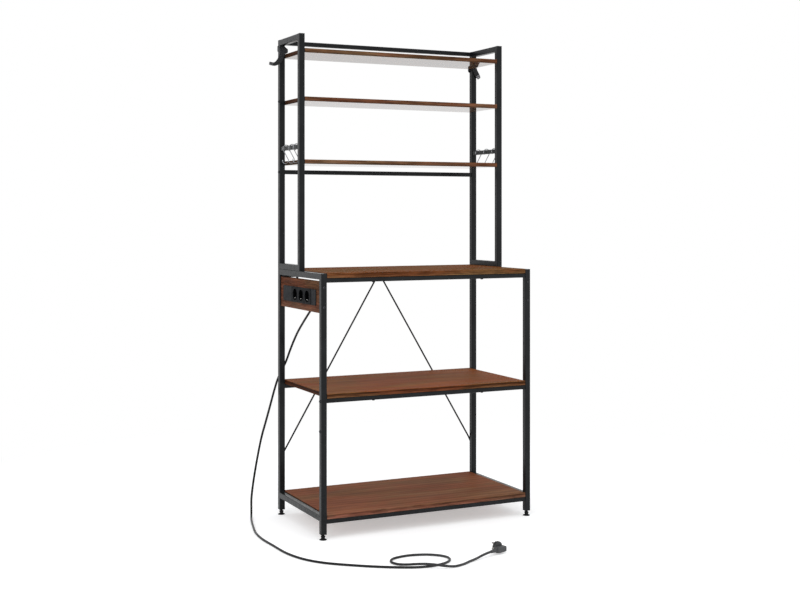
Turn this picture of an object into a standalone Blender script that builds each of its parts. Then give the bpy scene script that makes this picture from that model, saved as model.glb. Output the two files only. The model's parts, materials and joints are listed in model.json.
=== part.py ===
"""Kitchen rack with a hutch, a three-way socket strip, six S-hooks and levelling feet.

Units are metres and +Z is up. The front faces -Y, and the origin is the middle of the rack on the floor.
A base of two welded side frames carries three boards on square rails. A shallower hutch of two more
side frames stands on the back of the base. Two rods brace the back of the base.
"""
import math

import bmesh
import bpy
from mathutils import Matrix, Vector

MM = 0.001

# Rack
WIDTH = 800 * MM
BASE_DEPTH = 410 * MM
BASE_HEIGHT = 875 * MM
OVERALL_HEIGHT = 1690 * MM
HUTCH_DEPTH = 212 * MM
SEAT_GAP = 0.3 * MM
CUT_OVERRUN = 3 * MM
SMOOTH_ANGLE = math.radians(32)
FLAT_ANGLE = math.radians(0.4)

# Square steel tube of the frames, and the smaller tube of the rails
POST = 20 * MM
POST_WALL = 1.2 * MM
POST_CORNER = 1.8 * MM
RAIL = 15 * MM
RAIL_WALL = 1.0 * MM
RAIL_CORNER = 1.5 * MM
CORNER_STEPS = 2

# Heights of the base
POST_BOTTOM = 20 * MM
BOTTOM_RAIL_LEVEL = 52.5 * MM
BOTTOM_SIDE_RAIL_LEVEL = 60 * MM
MIDDLE_RAIL_LEVEL = 449.5 * MM

# Boards
SHELF_THICKNESS = 15 * MM
COUNTER_THICKNESS = 16 * MM
COUNTER_PROUD = 1.5 * MM
BOARD_EDGE = 0.7 * MM
HUTCH_SHELF_INSET = 2 * MM

# Heights of the hutch, down from its top and up from its lowest shelf
TOP_SHELF_DROP = 50 * MM
UPPER_BAY = 166 * MM
LOWER_BAY = 215.7 * MM
TOP_RAIL_DROP = 2 * MM
HANGING_RAIL_DROP = 15.8 * MM
HOOK_BAR_RISE = 36.7 * MM

# Bolts that hold the hutch on the base
HUTCH_BOLT_RADIUS = 3.0 * MM
HUTCH_BOLT_CLEARANCE = 0.3 * MM
HUTCH_BOLT_HEAD_RADIUS = 4.5 * MM
HUTCH_BOLT_HEAD = 5.5 * MM
HUTCH_BOLT_THREAD_END = 12 * MM
HUTCH_BOLT_FRONT_INSET = 27 * MM
HUTCH_BOLT_BACK_INSET = 10 * MM

# Brace rods
BRACE_ROD_RADIUS = 3.0 * MM
BRACE_TAB_WIDTH = 11 * MM
BRACE_TAB_THICKNESS = 2.4 * MM
BRACE_TAB_LENGTH = 16 * MM
BRACE_TAPER = 14 * MM
BRACE_FOOT_LEVEL = 196 * MM
BRACE_HOLE_RADIUS = 2.8 * MM
BRACE_BOLT_RADIUS = 2.4 * MM
BRACE_BOLT_HEAD_RADIUS = 5.0 * MM
BRACE_BOLT_HEAD = 2.6 * MM

# Levelling feet and the inserts that hold them
FOOT_RADIUS = 12.5 * MM
FOOT_RIM = 1.6 * MM
FOOT_DOME_TOP = 6.0 * MM
FOOT_DOME_RISE_SHARES = (0.35, 0.7, 1.0)
FOOT_DOME_REACH_SHARES = (0.5, 0.15, 0.0)
FOOT_NECK_RADIUS = 6.2 * MM
FOOT_NUT_LEVEL = 9.0 * MM
FOOT_NUT_HEIGHT = 4.2 * MM
FOOT_NUT_RADIUS = 7.5 * MM
FOOT_STEM_RADIUS = 4.0 * MM
FOOT_STEM_TOP = 48 * MM
INSERT_FLANGE = 1.5 * MM
INSERT_DEPTH = 18 * MM
ROUND_STEPS = 20

# Board beside the sockets
POWER_BOARD_THICKNESS = 15 * MM
POWER_BOARD_HEIGHT = 104.5 * MM
POWER_BOARD_GAP = 6.5 * MM
POWER_BOARD_INSET = 4.5 * MM

# Socket strip let into that board
STRIP_LENGTH = 303 * MM
STRIP_HEIGHT = 53 * MM
STRIP_CORNER = 5 * MM
STRIP_SHIFT = 1.5 * MM
STRIP_DROP = 2.7 * MM
FLANGE_THICKNESS = 1.2 * MM
STRIP_RIM_WIDTH = 1.5 * MM
STRIP_RIM_HEIGHT = 1.6 * MM
FLANGE_OVERLAP = 3.0 * MM
HOUSING_DEPTH = 39 * MM
HOUSING_WALL = 2.0 * MM
CUTOUT_CLEARANCE = 0.5 * MM
BLANK_THICKNESS = 1.1 * MM
BLOCK_LENGTH = 179 * MM
BLOCK_THICKNESS = 2.3 * MM
BLOCK_SHIFT = -19.5 * MM

# One socket: round recess, contact holes, two guide ribs and a sprung earth clip
SOCKET_PITCH = 56 * MM
SOCKET_RADIUS = 19.5 * MM
SOCKET_DEPTH = 17.5 * MM
SOCKET_WALL = 1.4 * MM
SOCKET_FLOOR = 1.6 * MM
CONTACT_SPACING = 19 * MM
CONTACT_HOLE_RADIUS = 2.9 * MM
GUIDE_RIB_WIDTH = 4.6 * MM
GUIDE_RIB_HEIGHT = 2.4 * MM
SOCKET_STEPS = 32
CLIP_WIDTH = 4.0 * MM
CLIP_THICKNESS = 0.8 * MM
CLIP_SLOT_WIDTH = 5.2 * MM
CLIP_SETBACK = 3.4 * MM
CLIP_BOW = 2.6 * MM
CLIP_SINK = 0.3 * MM
MITRE_LEAST_SHARE = 0.5

# Angled cable outlet and its boot
CORD_SLOPE = math.radians(33.25)
CORD_RADIUS = 3.8 * MM
CORD_PLANE_INSET = 30 * MM
CORD_START_SHIFT = -46.5 * MM
CORD_START_DROP = 44.75 * MM
BOOT_LENGTH = 14 * MM
BOOT_ROOT_RADIUS = 6.4 * MM
BOOT_TIP_RADIUS = 4.9 * MM
BOOT_GROOVE = 0.7 * MM
OUTLET_WIDTH = 15 * MM
OUTLET_RISE = 6.8 * MM

# S-hooks
HOOK_WIRE_RADIUS = 1.4 * MM
HOOK_UPPER_BEND = 12.6 * MM
HOOK_LOWER_BEND = 11.0 * MM
HOOK_LOWER_OFFSET = 3.5 * MM
HOOK_DROP = 42 * MM
HOOK_UPPER_TIP = math.radians(215)
HOOK_LOWER_TIP = math.radians(366)
HOOK_ARC_STEPS = 11
HOOK_INSETS_LEFT = (51 * MM, 94 * MM, 152 * MM)
HOOK_INSETS_RIGHT = (37 * MM, 96 * MM, 158 * MM)

# Webbing straps that tie the rack to a wall. Tails are (outward, up) from the post's axis.
STRAP_WIDTH = 22 * MM
STRAP_TAIL_WIDTH = 16 * MM
STRAP_THICKNESS = 2.0 * MM
STRAP_SHELF_GAP = 1.5 * MM
STRAP_STEPS = 4
STRAP_CORNER_SHARE = 0.96
STRAP_TAIL_SINK = 0.3 * MM
STRAP_SLACK = 13 * MM
LEFT_STRAP_TAIL = ((-1 * MM, -2 * MM), (12 * MM, -25 * MM), (29 * MM, -50 * MM))
LEFT_PLATE_SPOT = (38 * MM, -47.5 * MM)
LEFT_PLATE_TURN = math.radians(17)
RIGHT_STRAP_TAIL = ((2 * MM, 10 * MM), (9 * MM, 0 * MM), (15.5 * MM, -17 * MM))
RIGHT_PLATE_SPOT = (18.8 * MM, -22.5 * MM)
RIGHT_PLATE_TURN = math.radians(-68)
STRAP_PLATE = 15 * MM
STRAP_PLATE_THICKNESS = 1.6 * MM
STRAP_PLATE_HOLE_RADIUS = 2.6 * MM
STRAP_PLATE_CORNER = 3 * MM

# Right-angle earthed plug, lying on the rim of its face
PLUG_SPOT = (49.0 * MM, -583.4 * MM)
PLUG_TURN = math.radians(18)
PLUG_FACE_RADIUS = 18.5 * MM
PLUG_FACE_DEPTH = 10 * MM
PLUG_EDGE = 1.2 * MM
PLUG_GRIP_LENGTH = 40 * MM
PLUG_GRIP_HEIGHT = 18 * MM
PLUG_GRIP_DROP = 4 * MM
PLUG_GRIP_DEPTH = 17 * MM
PLUG_GRIP_CORNER = 4 * MM
PLUG_BOOT_LENGTH = 24 * MM
PLUG_BOOT_ROOT_RADIUS = 6.5 * MM
PLUG_BOOT_TIP_RADIUS = 4.9 * MM
PLUG_GROOVE_WIDTH = 5.2 * MM
PLUG_GROOVE_DEPTH = 3.0 * MM
PLUG_PIN_RADIUS = 2.4 * MM
PLUG_PIN_LENGTH = 19 * MM
PLUG_PIN_SOCKET = 5 * MM
PLUG_PIN_ROUND = math.radians(30)

# Route of the power cord after it leaves the boot: hand-chosen points, in metres.
CORD_HANG = (
    (-0.3700, -0.0240, 0.7350),
    (-0.3700, 0.0270, 0.7010),
    (-0.3700, 0.0840, 0.6600),
    (-0.3695, 0.1240, 0.6260),
    (-0.3690, 0.1680, 0.5830),
    (-0.3690, 0.2040, 0.5440),
    (-0.3770, 0.2180, 0.5160),
    (-0.3950, 0.2190, 0.4800),
    (-0.4090, 0.2180, 0.4400),
    (-0.4260, 0.2160, 0.3840),
    (-0.4420, 0.2150, 0.3310),
    (-0.4580, 0.2150, 0.2770),
    (-0.4790, 0.2150, 0.1770),
    (-0.4920, 0.2140, 0.1000),
    (-0.4970, 0.2120, 0.0600),
)
CORD_FLOOR = (
    (-0.4995, 0.2050, 0.0320),
    (-0.5040, 0.1920, 0.0130),
    (-0.5110, 0.1720, 0.0052),
    (-0.5200, 0.1450, 0.0041),
    (-0.5430, 0.0620, 0.0041),
    (-0.5650, -0.0300, 0.0041),
    (-0.5720, -0.1100, 0.0041),
    (-0.5680, -0.2000, 0.0041),
    (-0.5590, -0.3180, 0.0041),
    (-0.5350, -0.3980, 0.0041),
    (-0.4970, -0.4580, 0.0041),
    (-0.4310, -0.5190, 0.0041),
)
CORD_LOOP = (
    (-0.3590, -0.5730, 0.0041),
    (-0.3040, -0.6060, 0.0041),
    (-0.2700, -0.6220, 0.0041),
    (-0.2350, -0.6310, 0.0041),
    (-0.2050, -0.6320, 0.0041),
    (-0.1650, -0.6230, 0.0041),
    (-0.1360, -0.6020, 0.0041),
    (-0.1250, -0.5730, 0.0041),
    (-0.1330, -0.5460, 0.0041),
    (-0.1610, -0.5180, 0.0041),
    (-0.2100, -0.4990, 0.0041),
    (-0.2500, -0.4990, 0.0041),
    (-0.2885, -0.5125, 0.0041),
    (-0.3065, -0.5420, 0.0041),
    (-0.2970, -0.5740, 0.0047),
    (-0.2770, -0.5930, 0.0062),
    (-0.2560, -0.6110, 0.0095),
    (-0.2340, -0.6310, 0.0124),
    (-0.2120, -0.6480, 0.0121),
    (-0.1850, -0.6620, 0.0084),
)
CORD_END = (
    (-0.1560, -0.6680, 0.0052),
    (-0.1180, -0.6570, 0.0041),
    (-0.0900, -0.6420, 0.0046),
    (-0.0590, -0.6290, 0.0064),
    (-0.0310, -0.6180, 0.0103),
)
CORD_RUN_STEPS = 37
CORD_LOOP_STEPS = 36
CORD_END_STEPS = 9
CORD_FINE_STEPS = 700
CORD_STEPS = 16

# Places worked out from the sizes above
LEFT = -1
RIGHT = 1
post_x = WIDTH / 2 - POST / 2
inner_x = WIDTH / 2 - POST
board_half = inner_x - SEAT_GAP
base_front = -BASE_DEPTH / 2
base_back = BASE_DEPTH / 2
front_post_y = base_front + POST / 2
back_post_y = base_back - POST / 2
hutch_front = base_back - HUTCH_DEPTH
hutch_post_y = hutch_front + POST / 2
counter_top = BASE_HEIGHT + COUNTER_PROUD
counter_rail_level = counter_top - COUNTER_THICKNESS - SEAT_GAP - RAIL
base_side_rail_level = BASE_HEIGHT - POST
hutch_bottom = BASE_HEIGHT + SEAT_GAP
top_shelf_level = OVERALL_HEIGHT - TOP_SHELF_DROP - SHELF_THICKNESS
middle_shelf_level = top_shelf_level - UPPER_BAY
lower_shelf_level = middle_shelf_level - LOWER_BAY
lower_shelf_top = lower_shelf_level + SHELF_THICKNESS
top_rail_level = OVERALL_HEIGHT - TOP_RAIL_DROP - RAIL
hanging_rail_level = lower_shelf_level - HANGING_RAIL_DROP - RAIL
hook_bar_level = lower_shelf_top + HOOK_BAR_RISE
power_board_top = base_side_rail_level - POWER_BOARD_GAP
power_board_face = WIDTH / 2 - POWER_BOARD_INSET
strip_level = power_board_top - POWER_BOARD_HEIGHT / 2 - STRIP_DROP
bore = POST - 2 * POST_WALL
hutch_bolt_front = hutch_front + POST + HUTCH_BOLT_FRONT_INSET
hutch_bolt_back = base_back - POST - HUTCH_BOLT_BACK_INSET


# Materials

def material(name, colour, roughness, metallic=0.0):
    """A Principled BSDF material with one colour."""
    made = bpy.data.materials.new(name)
    made.use_nodes = True
    shader = made.node_tree.nodes["Principled BSDF"]
    shader.inputs["Base Color"].default_value = (*colour, 1.0)
    shader.inputs["Roughness"].default_value = roughness
    shader.inputs["Metallic"].default_value = metallic
    made.diffuse_color = (*colour, 1.0)
    return made


def make_materials():
    """Every material of the rack, by its short name."""
    return {
        "black_steel": material("black_powder_coat", (0.022, 0.023, 0.025), 0.5, 0.3),
        "walnut": material("rustic_walnut", (0.17, 0.075, 0.035), 0.45),
        "zinc": material("black_zinc", (0.03, 0.03, 0.032), 0.35, 0.8),
        "black_plastic": material("black_plastic", (0.02, 0.02, 0.021), 0.55),
        "grey_plastic": material("dark_grey_plastic", (0.04, 0.042, 0.045), 0.5),
        "spring": material("bright_spring_steel", (0.75, 0.74, 0.71), 0.25, 1.0),
        "chrome": material("chrome_wire", (0.72, 0.73, 0.74), 0.15, 1.0),
        "nickel": material("nickel_plated_brass", (0.66, 0.64, 0.58), 0.25, 1.0),
        "webbing": material("black_webbing", (0.025, 0.025, 0.027), 0.9),
        "cord": material("black_cord_sheath", (0.018, 0.018, 0.019), 0.45),
    }


# Modelling helpers

def add_object(name, bm, look, location=(0.0, 0.0, 0.0), rotation=None):
    """Turn a bmesh into a named object with one material, faces pointing out."""
    bmesh.ops.recalc_face_normals(bm, faces=bm.faces)
    mesh = bpy.data.meshes.new(name)
    bm.to_mesh(mesh)
    bm.free()
    return place(name, mesh, look, location, rotation)


def place(name, mesh, look, location=(0.0, 0.0, 0.0), rotation=None):
    """Add an object that holds this mesh at this place."""
    made = bpy.data.objects.new(name, mesh)
    bpy.context.scene.collection.objects.link(made)
    mesh.materials.clear()
    mesh.materials.append(look)
    mesh.shade_smooth()
    mesh.set_sharp_from_angle(angle=SMOOTH_ANGLE)
    made.location = location
    if rotation is not None:
        made.rotation_euler = rotation
    return made


def rounded_rectangle(width, height, corner, steps=CORNER_STEPS):
    """Outline of a rectangle with round corners, centred on zero, anticlockwise."""
    points = []
    for turn, (x_sign, y_sign) in enumerate(((1, 1), (-1, 1), (-1, -1), (1, -1))):
        centre_x = x_sign * (width / 2 - corner)
        centre_y = y_sign * (height / 2 - corner)
        for step in range(steps + 1):
            angle = math.pi / 2 * (turn + step / steps)
            points.append((centre_x + corner * math.cos(angle), centre_y + corner * math.sin(angle)))
    return points


def circle(radius, steps, centre=(0.0, 0.0)):
    """Outline of a circle, anticlockwise, with a flat facet at the bottom."""
    points = []
    for step in range(steps):
        angle = math.tau * (step + 0.5) / steps
        points.append((centre[0] + radius * math.cos(angle), centre[1] + radius * math.sin(angle)))
    return points


def along(axis, outline, level):
    """Points of a flat outline, set at a level on one axis. The outline lies in the two other axes."""
    if axis == "X":
        return [Vector((level, a, b)) for a, b in outline]
    if axis == "Y":
        return [Vector((a, level, b)) for a, b in outline]
    return [Vector((a, b, level)) for a, b in outline]


def shifted(outline, shift):
    """The same outline, moved in its plane."""
    return [(a + shift[0], b + shift[1]) for a, b in outline]


def loft(rings):
    """Closed solid through rings of equally many points, capped at both ends."""
    bm = bmesh.new()
    rows = [[bm.verts.new(point) for point in ring] for ring in rings]
    for low, high in zip(rows, rows[1:]):
        for index in range(len(low)):
            following = (index + 1) % len(low)
            bm.faces.new((low[index], low[following], high[following], high[index]))
    bm.faces.new(rows[0])
    bm.faces.new(rows[-1])
    return bm


def prism(axis, outline, low, high):
    """Closed solid of one outline between two levels on an axis."""
    return loft([along(axis, outline, low), along(axis, outline, high)])


def box(low, high):
    """Closed box between two corners."""
    outline = [(low[0], low[1]), (high[0], low[1]), (high[0], high[1]), (low[0], high[1])]
    return prism("Z", outline, low[2], high[2])


def square_tube(axis, outer, wall, corner, low, high, centre):
    """Square tube open at both ends, as one solid with its bore through it."""
    bm = bmesh.new()
    outer_line = shifted(rounded_rectangle(outer, outer, corner), centre)
    inner_line = shifted(rounded_rectangle(outer - 2 * wall, outer - 2 * wall, corner - wall), centre)
    rows = []
    for outline, level in ((outer_line, low), (outer_line, high), (inner_line, high), (inner_line, low)):
        rows.append([bm.verts.new(point) for point in along(axis, outline, level)])
    for first, second in zip(rows, rows[1:] + rows[:1]):
        for index in range(len(first)):
            following = (index + 1) % len(first)
            bm.faces.new((first[index], first[following], second[following], second[index]))
    return bm


def turned(profile, steps=ROUND_STEPS, axis="Z", centre=(0.0, 0.0)):
    """Solid of revolution from (radius, level) pairs, capped flat at both ends."""
    return loft([along(axis, circle(radius, steps, centre), level) for radius, level in profile])


def combined(name, start, joined, cut, look, location=(0.0, 0.0, 0.0), rotation=None):
    """One solid: a start bmesh with others joined to it and then others cut from it."""
    target = add_object(name, start, look)
    helpers = []
    for operation, solids in (("UNION", joined), ("DIFFERENCE", cut)):
        for number, solid in enumerate(solids):
            helper = add_object(f"{name}_{operation.lower()}_{number}", solid, look)
            helpers.append(helper)
            modifier = target.modifiers.new(operation.lower(), "BOOLEAN")
            modifier.operation = operation
            modifier.solver = "EXACT"
            modifier.object = helper
    evaluated = target.evaluated_get(bpy.context.evaluated_depsgraph_get())
    bm = bmesh.new()
    bm.from_mesh(evaluated.to_mesh())
    evaluated.to_mesh_clear()
    for leftover in helpers + [target]:
        mesh = leftover.data
        bpy.data.objects.remove(leftover)
        bpy.data.meshes.remove(mesh)
    bmesh.ops.remove_doubles(bm, verts=bm.verts, dist=SEAT_GAP / 100)
    bmesh.ops.dissolve_limit(bm, angle_limit=FLAT_ANGLE, verts=bm.verts, edges=bm.edges)
    return add_object(name, bm, look, location, rotation)


# Frames and rails

def side_frame(name, side, front_y, bottom, top, rails, bolt_levels, look):
    """Welded frame of two square posts and the bars between them, hollow throughout.

    Each bar is (underside, tube size, wall). The bores of the bars run into those of the posts,
    which are open at the bottom.
    """
    x = side * post_x
    post_line = rounded_rectangle(POST, POST, POST_CORNER)
    bore_line = rounded_rectangle(bore, bore, POST_CORNER - POST_WALL)
    solids = [prism("Z", shifted(post_line, (x, y)), bottom, top) for y in (front_y, back_post_y)]
    cuts = [
        prism("Z", shifted(bore_line, (x, y)), bottom - CUT_OVERRUN, top - POST_WALL)
        for y in (front_y, back_post_y)
    ]
    for underside, size, wall in rails:
        centre = (x, underside + size / 2)
        bar = shifted(rounded_rectangle(size, size, RAIL_CORNER), centre)
        hollow = shifted(rounded_rectangle(size - 2 * wall, size - 2 * wall, RAIL_CORNER - wall / 2), centre)
        solids.append(prism("Y", bar, front_y, back_post_y))
        cuts.append(prism("Y", hollow, front_y, back_post_y))
    hole = circle(HUTCH_BOLT_RADIUS + HUTCH_BOLT_CLEARANCE, ROUND_STEPS // 2)
    for y in (hutch_bolt_front, hutch_bolt_back):
        for low, high in bolt_levels:
            cuts.append(prism("Z", shifted(hole, (x, y)), low - CUT_OVERRUN, high + CUT_OVERRUN))
    return combined(name, solids[0], solids[1:], cuts, look)


def cross_rail(name, underside, y, look):
    """Square rail between the two side frames, open at both ends."""
    centre = (y, underside + RAIL / 2)
    bm = square_tube("X", RAIL, RAIL_WALL, RAIL_CORNER, -board_half, board_half, centre)
    return add_object(name, bm, look)


def make_frames(looks):
    """Both base frames, both hutch frames and every cross rail."""
    steel = looks["black_steel"]
    base_bars = [(base_side_rail_level, POST, POST_WALL), (BOTTOM_SIDE_RAIL_LEVEL, POST, POST_WALL)]
    hutch_bars = [
        (OVERALL_HEIGHT - POST, POST, POST_WALL),
        (hutch_bottom, POST, POST_WALL),
        (hook_bar_level, RAIL, RAIL_WALL),
    ]
    for word, side in (("left", LEFT), ("right", RIGHT)):
        side_frame(
            f"base_side_frame_{word}", side, front_post_y, POST_BOTTOM, BASE_HEIGHT, base_bars,
            [(base_side_rail_level, BASE_HEIGHT)], steel,
        )
        side_frame(
            f"hutch_side_frame_{word}", side, hutch_post_y, hutch_bottom, OVERALL_HEIGHT, hutch_bars,
            [(hutch_bottom, hutch_bottom + POST_WALL)], steel,
        )
    for word, y in (("front", front_post_y), ("back", back_post_y)):
        cross_rail(f"counter_rail_{word}", counter_rail_level, y, steel)
        cross_rail(f"middle_rail_{word}", MIDDLE_RAIL_LEVEL, y, steel)
        cross_rail(f"bottom_rail_{word}", BOTTOM_RAIL_LEVEL, y, steel)
    cross_rail("hutch_top_rail", top_rail_level, back_post_y, steel)
    cross_rail("hanging_rail", hanging_rail_level, back_post_y, steel)


def make_boards(looks):
    """Counter, two base shelves and three hutch shelves, each with lightly broken edges."""
    base_span = (base_front, base_back)
    hutch_span = (hutch_front, base_back - HUTCH_SHELF_INSET)
    boards = (
        ("counter_board", base_span, counter_top - COUNTER_THICKNESS, COUNTER_THICKNESS),
        ("middle_board", base_span, MIDDLE_RAIL_LEVEL + RAIL + SEAT_GAP, SHELF_THICKNESS),
        ("bottom_board", base_span, BOTTOM_RAIL_LEVEL + RAIL + SEAT_GAP, SHELF_THICKNESS),
        ("hutch_shelf_top", hutch_span, top_shelf_level, SHELF_THICKNESS),
        ("hutch_shelf_middle", hutch_span, middle_shelf_level, SHELF_THICKNESS),
        ("hutch_shelf_lower", hutch_span, lower_shelf_level, SHELF_THICKNESS),
    )
    for name, (front, back), underside, thickness in boards:
        bm = box((-board_half, front, underside), (board_half, back, underside + thickness))
        bmesh.ops.bevel(bm, geom=bm.edges, offset=BOARD_EDGE, segments=1, affect="EDGES")
        add_object(name, bm, looks["walnut"])


# Fasteners and braces

def make_hutch_bolts(looks):
    """Four bolts that pass up through the base's side rails into the hutch's."""
    profile = (
        (HUTCH_BOLT_HEAD_RADIUS - HUTCH_BOLT_CLEARANCE, -SEAT_GAP - HUTCH_BOLT_HEAD),
        (HUTCH_BOLT_HEAD_RADIUS, -SEAT_GAP - HUTCH_BOLT_HEAD + HUTCH_BOLT_CLEARANCE),
        (HUTCH_BOLT_HEAD_RADIUS, -SEAT_GAP),
        (HUTCH_BOLT_RADIUS, -SEAT_GAP),
        (HUTCH_BOLT_RADIUS, POST + SEAT_GAP + HUTCH_BOLT_THREAD_END),
    )
    for word, side in (("left", LEFT), ("right", RIGHT)):
        for place_word, y in (("front", hutch_bolt_front), ("back", hutch_bolt_back)):
            add_object(
                f"hutch_bolt_{word}_{place_word}", turned(profile, ROUND_STEPS // 2),
                looks["zinc"], (side * post_x, y, base_side_rail_level),
            )


def flat_ring(centre, axis, width, thickness):
    """Oval ring square to a rod's axis. Its thickness lies along Y."""
    across = axis.cross(Vector((0.0, 1.0, 0.0))).normalized()
    ring = []
    for a, b in circle(1, ROUND_STEPS // 2):
        ring.append(centre + across * (a * width / 2) + Vector((0.0, b * thickness / 2, 0.0)))
    return ring


def brace_rod(name, top, foot, hole_depth, look):
    """Round rod whose two ends are pressed flat and drilled for a bolt."""
    axis = (foot - top).normalized()
    half_tab = BRACE_TAB_WIDTH / 2
    rod = 2 * BRACE_ROD_RADIUS
    rod_y = Vector((0.0, rod / 2 - BRACE_TAB_THICKNESS / 2, 0.0))
    tip = BRACE_TAB_WIDTH / 4
    rings = [
        flat_ring(top - axis * half_tab, axis, BRACE_TAB_WIDTH / 2, BRACE_TAB_THICKNESS),
        flat_ring(top - axis * tip, axis, BRACE_TAB_WIDTH, BRACE_TAB_THICKNESS),
        flat_ring(top + axis * (BRACE_TAB_LENGTH - half_tab), axis, BRACE_TAB_WIDTH, BRACE_TAB_THICKNESS),
        flat_ring(top + axis * (BRACE_TAB_LENGTH - half_tab + BRACE_TAPER) + rod_y, axis, rod, rod),
        flat_ring(foot - axis * (BRACE_TAB_LENGTH - half_tab + BRACE_TAPER) + rod_y, axis, rod, rod),
        flat_ring(foot - axis * (BRACE_TAB_LENGTH - half_tab), axis, BRACE_TAB_WIDTH, BRACE_TAB_THICKNESS),
        flat_ring(foot + axis * tip, axis, BRACE_TAB_WIDTH, BRACE_TAB_THICKNESS),
        flat_ring(foot + axis * half_tab, axis, BRACE_TAB_WIDTH / 2, BRACE_TAB_THICKNESS),
    ]
    cuts = [
        prism(
            "Y", circle(BRACE_HOLE_RADIUS, ROUND_STEPS // 2, (end.x, end.z)),
            end.y - hole_depth, end.y + hole_depth,
        )
        for end in (top, foot)
    ]
    return combined(name, loft(rings), [], cuts, look)


def brace_bolt(name, x, z, stack, look):
    """Pan-headed bolt in from the back, through a stack of rod ends."""
    face = base_back + stack + SEAT_GAP
    profile = (
        (BRACE_BOLT_RADIUS, base_back + SEAT_GAP),
        (BRACE_BOLT_RADIUS, face),
        (BRACE_BOLT_HEAD_RADIUS, face),
        (BRACE_BOLT_HEAD_RADIUS, face + BRACE_BOLT_HEAD / 2),
        (BRACE_BOLT_HEAD_RADIUS / 2, face + BRACE_BOLT_HEAD),
    )
    bm = turned(profile, ROUND_STEPS // 2, "Y", (x, z))
    return add_object(name, bm, look)


def make_braces(looks):
    """Two rods from the middle of the counter's back rail down to the back posts."""
    seat = base_back + SEAT_GAP + BRACE_TAB_THICKNESS / 2
    second = seat + BRACE_TAB_THICKNESS + SEAT_GAP
    top_z = counter_rail_level + RAIL / 2
    ends = (("left", LEFT, seat), ("right", RIGHT, second))
    for word, side, top_y in ends:
        top = Vector((0.0, top_y, top_z))
        foot = Vector((side * post_x, seat, BRACE_FOOT_LEVEL))
        brace_rod(f"brace_rod_{word}", top, foot, BRACE_TAB_WIDTH / 2, looks["black_steel"])
        stack = SEAT_GAP + BRACE_TAB_THICKNESS
        brace_bolt(f"brace_bolt_{word}", side * post_x, BRACE_FOOT_LEVEL, stack, looks["zinc"])
    stack = 2 * (SEAT_GAP + BRACE_TAB_THICKNESS)
    brace_bolt("brace_bolt_centre", 0.0, top_z, stack, looks["zinc"])


# Levelling feet

def make_feet(looks):
    """Four screw feet and the plastic inserts in the post ends that hold them."""
    dome = FOOT_DOME_TOP - FOOT_RIM
    profile = [(FOOT_RADIUS - FOOT_RIM / 2, 0.0), (FOOT_RADIUS, FOOT_RIM / 2), (FOOT_RADIUS, FOOT_RIM)]
    for rise_share, reach_share in zip(FOOT_DOME_RISE_SHARES, FOOT_DOME_REACH_SHARES):
        reach = FOOT_NECK_RADIUS + (FOOT_RADIUS - FOOT_NECK_RADIUS) * reach_share
        profile.append((reach, FOOT_RIM + dome * rise_share))
    nut_top = FOOT_NUT_LEVEL + FOOT_NUT_HEIGHT
    profile += [
        (FOOT_NECK_RADIUS, FOOT_NUT_LEVEL),
        (FOOT_NUT_RADIUS, FOOT_NUT_LEVEL),
        (FOOT_NUT_RADIUS, nut_top),
        (FOOT_STEM_RADIUS, nut_top),
        (FOOT_STEM_RADIUS, FOOT_STEM_TOP),
    ]
    flange = rounded_rectangle(POST, POST, POST_CORNER)
    plug_size = bore - 2 * SEAT_GAP
    plug = rounded_rectangle(plug_size, plug_size, POST_CORNER - POST_WALL)
    hole = circle(FOOT_STEM_RADIUS + SEAT_GAP, ROUND_STEPS)
    flange_low = POST_BOTTOM - SEAT_GAP - INSERT_FLANGE
    for word, side in (("left", LEFT), ("right", RIGHT)):
        for depth_word, y in (("front", front_post_y), ("back", back_post_y)):
            spot = (side * post_x, y, 0.0)
            add_object(f"levelling_foot_{depth_word}_{word}", turned(profile), looks["black_plastic"], spot)
            combined(
                f"foot_insert_{depth_word}_{word}",
                prism("Z", flange, flange_low, flange_low + INSERT_FLANGE),
                [prism("Z", plug, flange_low + INSERT_FLANGE / 2, POST_BOTTOM + INSERT_DEPTH)],
                [prism("Z", hole, flange_low - CUT_OVERRUN, POST_BOTTOM + INSERT_DEPTH + CUT_OVERRUN)],
                looks["black_plastic"], spot,
            )


# Socket strip. Outward is -X, so depths are counted from the board's outer face.

def strip_x(depth):
    """X of a plane this far outside the power board's outer face."""
    return -power_board_face - depth


flange_back = SEAT_GAP
flange_front = flange_back + FLANGE_THICKNESS
cover_back = flange_front + SEAT_GAP
block_front = cover_back + BLOCK_THICKNESS
strip_centre = (STRIP_SHIFT, strip_level)
body_length = STRIP_LENGTH - 2 * FLANGE_OVERLAP
body_height = STRIP_HEIGHT - 2 * FLANGE_OVERLAP
cover_corner = STRIP_CORNER - STRIP_RIM_WIDTH
inside_length = STRIP_LENGTH - 2 * STRIP_RIM_WIDTH - 2 * SEAT_GAP
inside_height = STRIP_HEIGHT - 2 * STRIP_RIM_WIDTH - 2 * SEAT_GAP
block_centre = STRIP_SHIFT + BLOCK_SHIFT
cord_direction = Vector((0.0, math.cos(CORD_SLOPE), -math.sin(CORD_SLOPE)))
cord_start = Vector((
    -WIDTH / 2 + CORD_PLANE_INSET, STRIP_SHIFT + CORD_START_SHIFT, strip_level - CORD_START_DROP,
))


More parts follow.
